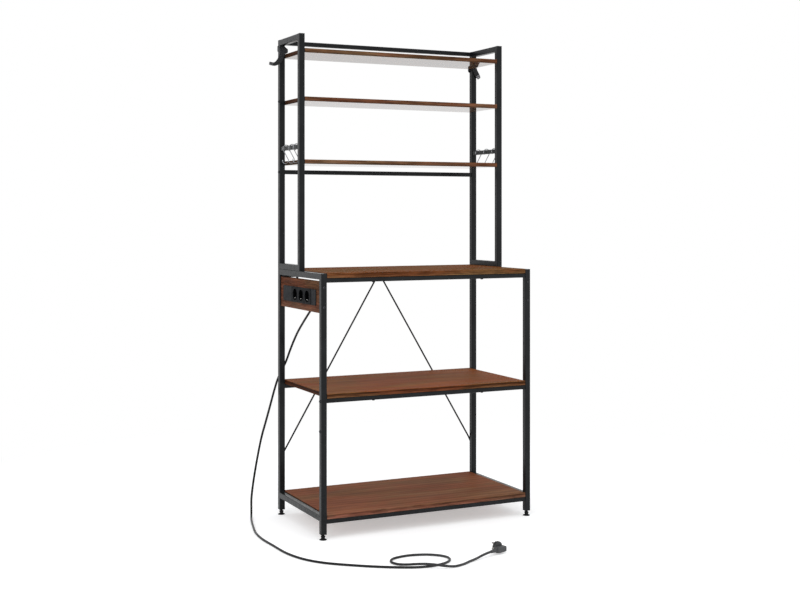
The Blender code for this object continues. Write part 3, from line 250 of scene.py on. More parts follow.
def grain_of(tree, lined):
    """The layers of the grain, by name."""
    layers = {}
    for name, (stretch, scale, detail, roughness, distortion) in GRAIN_LAYERS.items():
        layers[name] = noise_of(tree, stretched(tree, lined, stretch), scale, detail, roughness, distortion)
    layers["wave"] = node(tree, "TexWave", {
        "Vector": stretched(tree, lined, WAVE_STRETCH), "Scale": 3.0, "Distortion": 9.0,
        "Detail": 4.0, "Detail Scale": 1.3, "Detail Roughness": 0.65,
    }, wave_type="BANDS", bands_direction="Y").outputs["Fac"]
    return layers


def wood(
    name, along="X", seed=0.0, low=0.0, high=1.0, edge=(1.0, 1.0, 1.0, 1.0), tint=(1.0, 1.0, 1.0),
    specular=0.03, end_shade=0.75,
):
    """Walnut-print foil: grain along one axis, a banded edge with painted light and shade across it, and a
    smooth lacquered underside.
    """
    made, tree, shader, coords = new_look(name, roughness=0.6, specular=specular)
    normal = node(tree, "SeparateXYZ", {"Vector": node(tree, "TexCoord").outputs["Normal"]}).outputs
    turns = ((0.0, 0.0, math.pi / 2), (0.0, 0.0, 0.0))
    shift = tuple(seed * share for share in SEED_SHARES)
    face_grain, end_grain = (
        stretched(tree, coords, (1.0, 1.0, 1.0), turn, shift)
        for turn in (turns if along == "Y" else turns[::-1])
    )
    at_end = calculated(tree, "GREATER_THAN", calculated(tree, "ABSOLUTE", normal[along]), END_NORMAL)
    lined = node(tree, "Mix", {0: at_end, 4: face_grain, 5: end_grain}, data_type="VECTOR").outputs[1]
    layers = grain_of(tree, lined)
    tone = 0.0
    for layer, share in TONE_SHARES.items():
        tone = calculated(tree, "MULTIPLY_ADD", layers[layer], share, tone)
    # Both hues take the board's tint, which paints light and shade into them
    red, olive = (
        ramp(tree, tone, [
            (place, [part * share for part, share in zip(colour, tint)]) for place, colour in stops
        ])
        for stops in (RED_GRAIN, OLIVE_GRAIN)
    )
    colour = mixed(tree, ranged(tree, layers["drift"], *OLIVE_RANGE), red, olive)
    dashes, knots, flecks = (
        ranged(tree, layers[layer], *limits) for layer, limits in SHADE_RANGES.items()
    )
    end_tone = calculated(tree, "MULTIPLY_ADD", at_end, end_shade - 1, 1.0)
    shading = calculated(tree, "MULTIPLY", calculated(tree, "MULTIPLY", dashes, knots), end_tone)
    height = node(tree, "SeparateXYZ", {"Vector": coords}).outputs["Z"]
    steepness = calculated(tree, "ABSOLUTE", normal["Z"])
    upright = ranged(tree, steepness, EDGE_NORMAL, FLAT_NORMAL, 1.0, 0.0)
    # The edge's bands: the foil's own bands, with painted light and shade across the edge from the edge
    # shares
    edge_bands_and_painted_light = ramp(tree, ranged(tree, height, low, high, smooth=False), [
        (place, scaled(hue, value / 2)) for (place, hue), value in zip(EDGE_HUES, edge)
    ])
    edge_bands_and_painted_light = mixed(tree, 1.0, edge_bands_and_painted_light, flecks, "MULTIPLY")
    colour = mixed(tree, 1.0, colour, mixed(tree, upright, HALF_GREY, edge_bands_and_painted_light), "MULTIPLY")
    colour = mixed(tree, 1.0, colour, calculated(tree, "MULTIPLY", shading, 2.0), "MULTIPLY")
    wire(tree, colour, shader, "Base Color")
    wire(tree, ranged(tree, layers["streak"], *NOISE_SPREAD, 0.52, 0.68), shader, "Roughness")
    if along == "X":
        shader.inputs["Coat Roughness"].default_value = 0.04
        shader.inputs["Coat IOR"].default_value = 1.7
        wire(tree, ranged(tree, normal["Z"], *COAT_NORMALS), shader, "Coat Weight")
    relief = calculated(tree, "MULTIPLY_ADD", layers["fine"], FINE_RELIEF, dashes)
    bumped(tree, shader, relief, strength=0.22, distance=0.0002)
    return made


def plastic(name, colour, roughness=0.5, specular=0.15, deep=None):
    """Moulded plastic with a fine spark-eroded grain.

    With deep=(way, low, high, least) it darkens to that share between those places along the way: painted
    shade deep in the sockets, and the plug's darker face.
    """
    made, tree, shader, coords = new_look(name, roughness, specular=specular)
    mottle = noise_of(tree, coords, scale=90.0, detail=4.0, roughness=0.6)
    tint = ramp(tree, mottle, ((0.3, scaled(colour, 0.8)), (0.7, scaled(colour, 1.3))))
    if deep:
        way, low, high, least = deep
        place = node(tree, "VectorMath", {0: coords, 1: way}, operation="DOT_PRODUCT").outputs["Value"]
        tint = mixed(tree, 1.0, tint, ranged(tree, place, low, high, 1.0, least), "MULTIPLY")
    wire(tree, tint, shader, "Base Color")
    wear = noise_of(tree, coords, scale=35.0)
    wire(tree, ranged(tree, wear, *NOISE_SPREAD, roughness - 0.05, roughness + 0.07), shader, "Roughness")
    grain = noise_of(tree, coords, scale=2200.0, detail=2.0)
    bumped(tree, shader, grain, strength=0.12, distance=0.0002)
    return made


def metal(name, colour, roughness=0.25, tarnish=0.75):
    """Bare or plated metal with fine scratches and slight tarnish."""
    made, tree, shader, coords = new_look(name, roughness, metallic=1.0)
    patch = noise_of(tree, coords, scale=120.0, detail=4.0, roughness=0.6)
    wire(tree, ramp(tree, patch, ((0.35, scaled(colour, tarnish)), (0.65, colour))), shader, "Base Color")
    lines = noise_of(tree, coords, scale=700.0, detail=3.0, roughness=0.6)
    wire(tree, ranged(tree, lines, *NOISE_SPREAD, roughness * 0.7, roughness * 1.4), shader, "Roughness")
    bumped(tree, shader, lines, strength=0.02, distance=0.0001)
    return made


def webbing(name):
    """Woven black webbing. The piece's UV map runs along and across the band, in metres."""
    made, tree, shader, coords = new_look(name, roughness=0.85, specular=0.3)
    shader.inputs["Sheen Weight"].default_value = 0.35
    shader.inputs["Sheen Roughness"].default_value = 0.4
    flat = node(tree, "TexCoord").outputs["UV"]
    warp, weft = (
        node(tree, "TexWave", {
            "Vector": flat, "Scale": scale, "Distortion": distortion, "Detail": 1.0, "Detail Scale": 30.0,
        }, wave_type="BANDS", bands_direction=direction).outputs["Fac"]
        for direction, scale, distortion in (("X", 210.0, 0.6), ("Y", 170.0, 0.4))
    )
    weave = calculated(tree, "MULTIPLY", warp, weft)
    tint = ramp(tree, weave, (
        (0.0, (0.009, 0.009, 0.010)), (0.6, (0.038, 0.039, 0.041)), (1.0, (0.070, 0.071, 0.075)),
    ))
    wire(tree, tint, shader, "Base Color")
    hairs = noise_of(tree, coords, scale=2600.0, detail=2.0)
    fuzz = calculated(tree, "MULTIPLY_ADD", hairs, 0.3, weave)
    bumped(tree, shader, fuzz, strength=0.7, distance=0.0004)
    return made


def sheath(name, highlight_within=0.14, highlight_gone_beyond=0.46):
    """Soft black cord sheath with a dull shine and faint wipes along it, and a painted highlight that makes
    it paler towards the plug.
    """
    made, tree, shader, coords = new_look(name, roughness=0.35, specular=0.16)
    wipes = noise_of(tree, coords, scale=70.0, detail=5.0, roughness=0.65)
    black = ramp(tree, wipes, ((0.3, (0.003, 0.003, 0.0034)), (0.7, (0.008, 0.008, 0.009))))
    # pale: a painted highlight near the plug, fading to the black further along the cord
    pale = ramp(tree, wipes, ((0.3, (0.034, 0.034, 0.035)), (0.7, (0.064, 0.064, 0.066))))
    from_plug = node(tree, "VectorMath", {0: coords, 1: PLUG_AT}, operation="DISTANCE").outputs["Value"]
    highlight_fade = ranged(tree, from_plug, highlight_within, highlight_gone_beyond)
    wire(tree, mixed(tree, highlight_fade, pale, black), shader, "Base Color")
    wire(tree, ranged(tree, wipes, *NOISE_SPREAD, 0.26, 0.44), shader, "Roughness")
    grain = noise_of(tree, coords, scale=1400.0, detail=2.0)
    bumped(tree, shader, grain, strength=0.08, distance=0.0002)
    return made


# The plug's round face is darker than its grip, from just in front of the face's own level
PLUG_PINS_WAY = PLUG_TURN @ Vector((0.0, 1.0, 0.0))
PLUG_FACE_LEVEL = PLUG_AT.dot(PLUG_PINS_WAY)
PLUG_DARKENING = (PLUG_PINS_WAY, PLUG_FACE_LEVEL - 0.0005, PLUG_FACE_LEVEL + 0.0010, 0.42)
# The sockets are painted darker inside than at their mouths: painted shade in the recesses
SOCKET_PAINTED_SHADE = (Vector((1.0, 0.0, 0.0)), -0.3990, -0.3965, 0.22)
looks = {
    "black_powder_coat": powder_coat("powder_coat"),
    "black_zinc": metal("black_zinc", (0.05, 0.051, 0.055), roughness=0.34),
    "black_plastic": plastic("black_plastic", (0.009, 0.009, 0.010), roughness=0.48, specular=0.1),
    "dark_grey_plastic": plastic("dark_grey_plastic", (0.0150, 0.0158, 0.0176), specular=0.05),
    "plug_plastic": plastic(
        "plug_plastic", (0.066, 0.067, 0.069), roughness=0.45, specular=0.25, deep=PLUG_DARKENING,
    ),
    "plug_metal": metal("plug_metal", (0.30, 0.29, 0.27), roughness=0.34),
    # Socket plastic, with painted shade growing darker inside each socket
    "socket_plastic": plastic(
        "socket_plastic", (0.0090, 0.0094, 0.0104), specular=0.03, deep=SOCKET_PAINTED_SHADE,
    ),
    "strap_plate_zinc": metal("strap_plate_zinc", (0.16, 0.16, 0.17), roughness=0.34),
    "bright_spring_steel": metal("spring_steel", (0.78, 0.77, 0.74), roughness=0.22),
    "chrome_wire": metal("chrome_wire", (0.32, 0.33, 0.35), roughness=0.13),
    "contact_brass": metal("contact_brass", (0.62, 0.43, 0.17), roughness=0.3),
    "black_webbing": webbing("black_webbing"),
    "black_cord_sheath": sheath("cord_sheath"),
}
# Edge shares, tint, specular level and the end faces' shade of the three shelves
SHELF_LOOK = ((0.30, 0.76, 0.95, 0.85), (0.96, 1.08, 0.98), 0.03, 0.42)
# Each board's wood: grain direction, seed, edge's bottom and top, edge shares, tint and, where they
# differ from the usual, specular level and the end faces' shade
# The tints and edge shares make lit and shaded copies of one walnut: painted light and shade for each board
# and across its edge, with small shifts of hue
BOARDS = {
    "counter_board": ("X", 5.6, 0.8605, 0.8765, (1.05, 0.88, 0.80, 1.00), (0.89, 0.86, 0.59), 0.008, 0.45),
    "middle_board": ("X", 7.7, 0.4648, 0.4798, (0.78, 0.54, 0.20, 0.85), (1.29, 1.05, 0.75), 0.03, 0.40),
    "bottom_board": ("X", 12.9, 0.0678, 0.0828, (0.95, 1.08, 0.50, 0.90), (1.12, 1.06, 1.10), 0.03, 0.45),
    "hutch_shelf_top": ("X", 17.3, 1.6250, 1.6400, *SHELF_LOOK),
    "hutch_shelf_middle": ("X", 23.9, 1.4590, 1.4740, *SHELF_LOOK),
    "hutch_shelf_lower": ("X", 31.4, 1.2433, 1.2583, *SHELF_LOOK),
    "power_board": ("Y", 41.2, 0.7440, 0.8485, (1.0, 1.0, 1.0, 1.0), (0.61, 0.55, 0.48)),
}
OWN_LOOKS = {
    "plug_body": "plug_plastic", "socket_block": "socket_plastic",
    "plug_pin_lower": "plug_metal", "plug_pin_upper": "plug_metal",
}


def dress_nodes():
    """Give every CAD node its material."""
    slots = {entry["node"]: entry["material_slot"] for entry in frame["record"]["subparts"]}
    for name, made in nodes.items():
        if name in BOARDS:
            look = wood(f"walnut_{name}", *BOARDS[name])
        elif name in OWN_LOOKS:
            look = looks[OWN_LOOKS[name]]
        else:
            look = looks[slots[name]]
        for index in range(len(made.data.materials)):
            made.data.materials[index] = look
        if not made.data.materials:
            made.data.materials.append(look)


dress_nodes()


# Pieces

def piece(name, bm, look, body, angle=32.0):
    """Turn a bmesh into a piece that rides on a body."""
    bmesh.ops.recalc_face_normals(bm, faces=bm.faces)
    mesh = bpy.data.meshes.new(name)
    bm.to_mesh(mesh)
    bm.free()
    mesh.materials.append(looks[look])
    mesh.shade_smooth()
    mesh.set_sharp_from_angle(angle=math.radians(angle))
    made = bpy.data.objects.new(name, mesh)
    bpy.context.scene.collection.objects.link(made)
    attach(made, body)
    return made


def smooth_points(points, count, steps=16):
    """Points evenly spaced along a centripetal curve through the given points."""
    points = [Vector(point) for point in points]
    fine = []
    padded = [points[0] * 2 - points[1]] + points + [points[-1] * 2 - points[-2]]
    for index in range(1, len(padded) - 2):
        p0, p1, p2, p3 = padded[index - 1:index + 3]
        t1 = (p1 - p0).length ** 0.5
        t2 = t1 + (p2 - p1).length ** 0.5
        t3 = t2 + (p3 - p2).length ** 0.5
        for step in range(steps):
            t = t1 + (t2 - t1) * step / steps
            a1 = p0 * ((t1 - t) / t1) + p1 * (t / t1)
            a2 = p1 * ((t2 - t) / (t2 - t1)) + p2 * ((t - t1) / (t2 - t1))
            a3 = p2 * ((t3 - t) / (t3 - t2)) + p3 * ((t - t2) / (t3 - t2))
            b1 = a1 * ((t2 - t) / t2) + a2 * (t / t2)
            b2 = a2 * ((t3 - t) / (t3 - t1)) + a3 * ((t - t1) / (t3 - t1))
            fine.append(b1 * ((t2 - t) / (t2 - t1)) + b2 * ((t - t1) / (t2 - t1)))
    fine.append(points[-1])
    lengths = [0.0]
    for before, after in zip(fine, fine[1:]):
        lengths.append(lengths[-1] + (after - before).length)
    spaced = []
    cursor = 0
    for number in range(count):
        wanted = lengths[-1] * number / (count - 1)
        while cursor < len(lengths) - 2 and lengths[cursor + 1] < wanted:
            cursor += 1
        span = lengths[cursor + 1] - lengths[cursor]
        spaced.append(fine[cursor].lerp(fine[cursor + 1], (wanted - lengths[cursor]) / span))
    return spaced


SELVEDGE_POWER = 4


def band(line, normals, ups, widths, thickness, across_steps=6, edge=0.35):
    """Webbing along a line, crowned slightly, thinner at its selvedges, with a UV map in metres."""
    bm = bmesh.new()
    uv = bm.loops.layers.uv.new("weave")
    shares = [step / across_steps * 2 - 1 for step in range(across_steps + 1)]
    front = [(share, thickness / 2 * (1 - edge * share ** SELVEDGE_POWER)) for share in shares]
    section = front + [(share, -lift) for share, lift in front[::-1]]
    count = len(section)
    travelled = 0.0
    rings = []
    marks = []
    for index, (here, width) in enumerate(zip(line, widths)):
        if index:
            travelled += (here - line[index - 1]).length
        rings.append([
            bm.verts.new(here + ups[index] * (share * width / 2) + normals[index] * lift)
            for share, lift in section
        ])
        marks.append([(travelled, share * width / 2) for share, _ in section])
    for row, (low, high) in enumerate(zip(rings, rings[1:])):
        for index in range(count):
            following = (index + 1) % count
            face = bm.faces.new((low[index], low[following], high[following], high[index]))
            places = (
                marks[row][index], marks[row][following], marks[row + 1][following], marks[row + 1][index],
            )
            for loop, place in zip(face.loops, places):
                loop[uv].uv = place
    bm.faces.new(rings[0])
    bm.faces.new(rings[-1])
    return bm


def joined(bm, rings, closed=False):
    """Faces between rings in turn. Open rows get a cap at each end."""
    pairs = list(zip(rings, rings[1:]))
    if closed:
        pairs.append((rings[-1], rings[0]))
    else:
        bm.faces.new(rings[0])
        bm.faces.new(rings[-1])
    count = len(rings[0])
    for low, high in pairs:
        for index in range(count):
            following = (index + 1) % count
            bm.faces.new((low[index], low[following], high[following], high[index]))


def lathe(bm, place, axis, profile, sides=24, closed=False):
    """Turned form of (radius, along) rings about an axis. A ring with a third value is a hexagon."""
    axis = Vector(axis).normalized()
    first = axis.orthogonal().normalized()
    second = axis.cross(first)
    rings = []
    for radius, along, *hexagon in profile:
        ring = []
        for step in range(sides):
            angle = math.tau * step / sides
            reach = radius
            if hexagon:
                reach = radius / math.cos(angle % (math.pi / 3) - math.pi / 6)
            spoke = first * math.cos(angle) + second * math.sin(angle)
            ring.append(bm.verts.new(Vector(place) + axis * along + spoke * reach))
        rings.append(ring)
    joined(bm, rings, closed)


BEAD_SQUARENESS = 8
BEAD_TIP = 0.2


def bead(bm, start, end, radius, ripple=0.0, stations=9, sides=8):
    """Short rounded bar between two points, with optional ripples along it."""
    start, end = Vector(start), Vector(end)
    way = end - start
    first = way.orthogonal().normalized()
    second = way.normalized().cross(first)
    rings = []
    for station in range(stations):
        share = station / (stations - 1)
        round_end = math.sqrt(max(1 - (share * 2 - 1) ** BEAD_SQUARENESS, BEAD_TIP ** 2))
        reach = radius * round_end * (1 + ripple * math.cos(math.pi * station))
        ring = []
        for step in range(sides):
            angle = math.tau * step / sides
            spoke = first * math.cos(angle) + second * math.sin(angle)
            ring.append(bm.verts.new(start + way * share + spoke * reach))
        rings.append(ring)
    joined(bm, rings)


def ways_along(points):
    """Direction of a line at each of its points."""
    return [
        points[min(index + 1, len(points) - 1)] - points[max(index - 1, 0)] for index in range(len(points))
    ]


def flat_spring(points, width, thickness, across):
    """Thin metal strip along points, its width along one direction."""
    across = Vector(across)
    count = len(points)
    normals = [way.cross(across).normalized() for way in ways_along(points)]
    return band(points, normals, [across] * count, [width] * count, thickness, across_steps=4, edge=0.3)


def absorb(bm, other):
    """Move another bmesh into this one."""
    mesh = bpy.data.meshes.new("part")
    other.to_mesh(mesh)
    other.free()
    bm.from_mesh(mesh)
    bpy.data.meshes.remove(mesh)


# Power cord

CORD_DIAMETER = 0.0076
# The route is the one in the CAD source
CORD_START = (-0.3700, -0.0450, 0.7488)
CORD_FROM_START = Vector((0.0, 0.836286, -0.548293))
CORD_RUN = (
    (-0.3700, -0.0240, 0.7350), (-0.3700, 0.0270, 0.7010), (-0.3700, 0.0840, 0.6600),
    (-0.3695, 0.1240, 0.6260), (-0.3690, 0.1680, 0.5830), (-0.3690, 0.2040, 0.5440),
    (-0.3770, 0.2180, 0.5160), (-0.3950, 0.2190, 0.4800), (-0.4090, 0.2180, 0.4400),
    (-0.4260, 0.2160, 0.3840), (-0.4420, 0.2150, 0.3310), (-0.4580, 0.2150, 0.2770),
    (-0.4790, 0.2150, 0.1770), (-0.4920, 0.2140, 0.1000), (-0.4970, 0.2120, 0.0600),
    (-0.4995, 0.2050, 0.0320), (-0.5040, 0.1920, 0.0130), (-0.5110, 0.1720, 0.0052),
    (-0.5200, 0.1450, 0.0041), (-0.5430, 0.0620, 0.0041), (-0.5650, -0.0300, 0.0041),
    (-0.5720, -0.1100, 0.0041), (-0.5680, -0.2000, 0.0041), (-0.5590, -0.3180, 0.0041),
    (-0.5350, -0.3980, 0.0041), (-0.4970, -0.4580, 0.0041), (-0.4310, -0.5190, 0.0041),
    (-0.3590, -0.5730, 0.0041), (-0.3040, -0.6060, 0.0041), (-0.2700, -0.6220, 0.0041),
    (-0.2350, -0.6310, 0.0041), (-0.2050, -0.6320, 0.0041), (-0.1650, -0.6230, 0.0041),
    (-0.1360, -0.6020, 0.0041), (-0.1250, -0.5730, 0.0041), (-0.1330, -0.5460, 0.0041),
    (-0.1610, -0.5180, 0.0041), (-0.2100, -0.4990, 0.0041), (-0.2500, -0.4990, 0.0041),
    (-0.2885, -0.5125, 0.0041), (-0.3065, -0.5420, 0.0041), (-0.2970, -0.5740, 0.0047),
    (-0.2770, -0.5930, 0.0062), (-0.2560, -0.6110, 0.0095), (-0.2340, -0.6310, 0.0124),
    (-0.2120, -0.6480, 0.0121), (-0.1850, -0.6620, 0.0084), (-0.1560, -0.6680, 0.0052),
    (-0.1180, -0.6570, 0.0041), (-0.0900, -0.6420, 0.0046), (-0.0590, -0.6290, 0.0064),
    (-0.0310, -0.6180, 0.0103),
)
CORD_EXIT_RADII = 5
CORD_SEAT_GAP = 0.0003
CORD_STATIONS = 420
CORD_FACETS = 4
PLUG_GRIP_DEPTH = 0.017
PLUG_GRIP_DROP = 0.004
PLUG_CORD_END = -0.0443


def on_plug(x, y, z):
    """Place of a point given on the plug: +Y along its pins, +Z up."""
    return PLUG_TURN @ Vector((x, y, z)) + PLUG_AT


# The plug's earth contacts: (sideways, towards the pins) on the plug
PLUG_CONTACT_LINE = (
    (0.0150, 0.0102), (0.0176, 0.0102), (0.0187, 0.0094),
    (0.0188, 0.0060), (0.0188, 0.0035), (0.0186, 0.0012),
)
PLUG_CONTACT_WIDTH = 0.0055
PLUG_CONTACT_THICKNESS = 0.0006
PLUG_CONTACT_STATIONS = 25


def make_plug_contacts():
    """The plug's two earth contacts: strips that wrap from its face over its sides."""
    bm = bmesh.new()
    for side in (-1, 1):
        spots = [on_plug(side * x, y, 0.0) for x, y in PLUG_CONTACT_LINE]
        line = smooth_points(spots, PLUG_CONTACT_STATIONS)
        absorb(bm, flat_spring(line, PLUG_CONTACT_WIDTH, PLUG_CONTACT_THICKNESS, (0.0, 0.0, 1.0)))
    piece("plug_earth_contacts", bm, "plug_metal", "rack")


def make_cord():
    """The sheath of the power cord, along the whole route from the boot to the plug."""
    radius = CORD_DIAMETER / 2
    start = Vector(CORD_START)
    exit_length = CORD_EXIT_RADII * radius
    route = [start, start + CORD_FROM_START * exit_length]
    route += [Vector(point) for point in CORD_RUN]
    route.append(on_plug(
        PLUG_CORD_END - exit_length + CORD_SEAT_GAP, -PLUG_GRIP_DEPTH / 2, -PLUG_GRIP_DROP - radius / 4,
    ))
    route.append(on_plug(PLUG_CORD_END, -PLUG_GRIP_DEPTH / 2, -PLUG_GRIP_DROP))
    points = smooth_points(route, CORD_STATIONS)
    curve = bpy.data.curves.new("power_cord_sheath", "CURVE")
    curve.dimensions = "3D"
    curve.bevel_depth = radius
    curve.bevel_resolution = CORD_FACETS
    curve.use_fill_caps = True
    spline = curve.splines.new("POLY")
    spline.points.add(len(points) - 1)
    for slot, point in zip(spline.points, points):
        slot.co = (*point, 1.0)
    curve.materials.append(looks["black_cord_sheath"])
    made = bpy.data.objects.new("power_cord_sheath", curve)
    bpy.context.scene.collection.objects.link(made)
    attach(made, "rack")
    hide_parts("power_cord")


make_plug_contacts()
make_cord()


# S-hooks

HOOK_WIRE = 0.0014
HOOK_UPPER_BEND = 0.0126
HOOK_LOWER_BEND = 0.0110
# Places on a hook are (outward, up) from the centre of its upper bend
HOOK_LOWER_CENTRE = (0.0035, -0.042)
HOOK_UPPER_TIP = math.radians(215)
HOOK_LOWER_TIP = math.radians(366)
HOOK_BEND_STEPS = 30
HOOK_PIVOT_Z = 1.301264
HOOK_PLACES = {"left": (0.044, 0.087, 0.145), "right": (0.030, 0.089, 0.151)}


def sweep(points, radius, sides=16, ends=3):
    """Round tube along points in the XZ plane, with domed ends."""
    bm = bmesh.new()
    first_way = (points[0] - points[1]).normalized()
    last_way = (points[-1] - points[-2]).normalized()
    across = Vector((0.0, 1.0, 0.0))

    def dome(point, way, facing, steps):
        """Stations from a dome's base to its tip, or back."""
        angles = [math.pi / 2 * step / (ends + 0.5) for step in steps]
        return [
            (point + way * radius * math.sin(angle), radius * math.cos(angle), facing)
            for angle in angles
        ]

    stations = dome(points[0], first_way, -first_way, range(ends, 0, -1))
    stations += [(point, radius, way.normalized()) for point, way in zip(points, ways_along(points))]
    stations += dome(points[-1], last_way, last_way, range(1, ends + 1))
    rings = []
    for point, reach, way in stations:
        normal = way.cross(across)
        ring = []
        for step in range(sides):
            angle = math.tau * step / sides
            ring.append(bm.verts.new(point + (normal * math.cos(angle) + across * math.sin(angle)) * reach))
        rings.append(ring)
    joined(bm, rings)
    return bm


def bend(centre, radius, start, end):
    """Points of an arc from one angle to another."""
    angles = [start + (end - start) * step / HOOK_BEND_STEPS for step in range(HOOK_BEND_STEPS + 1)]
    return [centre + Vector((math.cos(angle), math.sin(angle))) * radius for angle in angles]


def hook_points(side, y):
    """Centre line of one S-hook in world places, with rounder bends than the CAD's."""
    lower = Vector(HOOK_LOWER_CENTRE)
    way = lower.normalized()
    across = Vector((-way.y, way.x))
    lean = math.asin((HOOK_UPPER_BEND + HOOK_LOWER_BEND) / lower.length)
    touch = across * math.cos(lean) + way * math.sin(lean)
    leave = math.atan2(touch.y, touch.x)
    flat = bend(Vector((0.0, 0.0)), HOOK_UPPER_BEND, HOOK_UPPER_TIP, leave)
    flat += bend(lower, HOOK_LOWER_BEND, leave + math.pi, HOOK_LOWER_TIP)
    return [Vector((side * (POST_X + outward), y, HOOK_PIVOT_Z + up)) for outward, up in flat]


def make_hooks():
    """A smooth wire hook for each CAD hook."""
    for word, side in SIDES:
        for number, y in enumerate(HOOK_PLACES[word], start=1):
            bm = sweep(hook_points(side, y), HOOK_WIRE)
            hook = f"{word}_{number}"
            made = piece(f"hook_wire_{hook}", bm, "chrome_wire", f"hook_{hook}", angle=60)
            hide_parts(f"s_hook_{word}_{number}")


make_hooks()


# Wall straps

STRAP_HUG = 0.0113
STRAP_LOOP_STATIONS = 97
STRAP_TAIL_STATIONS = 49
TAIL_AHEAD = 0.0021
TAIL_DRIFT = 0.0012
STRAP_CENTRE = {"left": 1.6525, "right": 1.6125}
STRAP_THICKNESS = 0.0014
# Webbing round the post: (outward, back, up, width) from the post's centre
STRAP_LOOPS = {
    "left": (
        (-0.0015, -0.0113, -0.0040, 0.0260), (-0.0045, -0.0114, -0.0040, 0.0260),
        (-0.0075, -0.0115, -0.0036, 0.0255), (-0.0103, -0.0114, -0.0015, 0.0210),
        (-0.0165, -0.0085, 0.0000, 0.0180), (-0.0235, -0.0010, 0.0010, 0.0100),
        (-0.0180, 0.0065, 0.0060, 0.0160), (-0.0109, 0.0111, 0.0100, 0.0220),
        (0.0000, 0.0113, 0.0100, 0.0220), (0.0107, 0.0108, 0.0080, 0.0200),
        (0.0109, 0.0000, 0.0040, 0.0180), (0.0108, -0.0080, 0.0010, 0.0180),
        (0.0095, -0.0109, -0.0005, 0.0185), (0.0010, -0.0113, -0.0030, 0.0200),
    ),
    "right": (
        (-0.0010, -0.0112, 0.0020, 0.0180), (-0.0040, -0.0112, 0.0035, 0.0155),
        (-0.0070, -0.0112, 0.0050, 0.0130), (-0.0103, -0.0110, 0.0068, 0.0100),
        (-0.0150, -0.0075, 0.0075, 0.0088), (-0.0205, -0.0010, 0.0074, 0.0085),
        (-0.0160, 0.0065, 0.0070, 0.0090), (-0.0107, 0.0108, 0.0058, 0.0115),
        (0.0000, 0.0111, 0.0030, 0.0160), (0.0107, 0.0107, 0.0000, 0.0190),
        (0.0109, 0.0000, 0.0000, 0.0190), (0.0108, -0.0080, 0.0000, 0.0190),
        (0.0095, -0.0109, 0.0000, 0.0190), (0.0015, -0.0113, 0.0000, 0.0190),
    ),
}
# Hanging tail: (outward, up, width)
STRAP_TAILS = {
    "left": (
        (-0.0050, 0.0090, 0.0200), (0.0015, -0.0120, 0.0200), (0.0085, -0.0290, 0.0190),
        (0.0185, -0.0425, 0.0165), (0.0310, -0.0500, 0.0130), (0.0460, -0.0500, 0.0105),
    ),
    "right": (
        (0.0010, 0.0140, 0.0170), (0.0035, 0.0040, 0.0180), (0.0092, -0.0080, 0.0195),
        (0.0150, -0.0195, 0.0195),
    ),
}
# Plate on the tail: its (outward, up) place, turn, length and width
STRAP_PLATES = {
    "left": ((0.0450, -0.0495), math.radians(8), 0.0150, 0.0115),
    "right": ((0.0145, -0.0185), math.radians(35), 0.0150, 0.0150),
}
STRAP_PLATE_THICKNESS = 0.0012
STRAP_PLATE_AHEAD = 0.0018
STRAP_PLATE_HOLE = 0.0020
STRAP_PLATE_SQUARENESS = 6
# Rolled eyelet: (radius, height) rings
EYELET_PROFILE = (
    (0.0021, 0.0004), (0.0022, 0.0009), (0.0026, 0.0011), (0.0031, 0.0010), (0.0033, 0.0004),
)
STITCH_RADIUS = 0.00032
STITCH_STATIONS = (3, 7, 33, 36)
STITCHES_ACROSS = 7
STITCH_WIDTH_SHARE = 0.86
STITCH_END_SHARES = (0.12, 0.78)
STITCH_LIFT_SHARE = 0.46


def drilled_plate(centre, along, normal, length, width, sides=48):
    """Small plate with rounded corners, softened edges and a hole."""
    bm = bmesh.new()
    across = normal.cross(along)
    half = STRAP_PLATE_THICKNESS / 2
    soft = half / 2
    power = STRAP_PLATE_SQUARENESS
    rings = []
    # Each ring is on the outline or round the hole, and moved outward and up
    for outline, outward, lift in (
        (False, 0.0, soft - half), (False, 0.0, half - soft), (False, soft, half), (True, -soft, half),
        (True, 0.0, half - soft), (True, 0.0, soft - half), (True, -soft, -half), (False, soft, -half),
    ):
        ring = []
        for step in range(sides):
            angle = math.tau * step / sides
            spoke = along * math.cos(angle) + across * math.sin(angle)
            reach = STRAP_PLATE_HOLE
            if outline:
                shares = abs(2 * math.cos(angle) / length), abs(2 * math.sin(angle) / width)
                reach = sum(share ** power for share in shares) ** (-1 / power)
            ring.append(bm.verts.new(centre + spoke * (reach + outward) + normal * lift))
        rings.append(ring)
    joined(bm, rings, closed=True)
    return bm


def stitched(bm, line, ups, normals, widths):
    """Rows of stitches across a band."""
    for spot in STITCH_STATIONS:
        base = line[spot] + normals[spot] * (STRAP_THICKNESS * STITCH_LIFT_SHARE)
        for number in range(STITCHES_ACROSS):
            start, end = (
                base + ups[spot] * (
                    ((number + share) / STITCHES_ACROSS - 0.5) * widths[spot] * STITCH_WIDTH_SHARE
                )
                for share in STITCH_END_SHARES
            )
            bead(bm, start, end, STITCH_RADIUS, stations=5, sides=6)


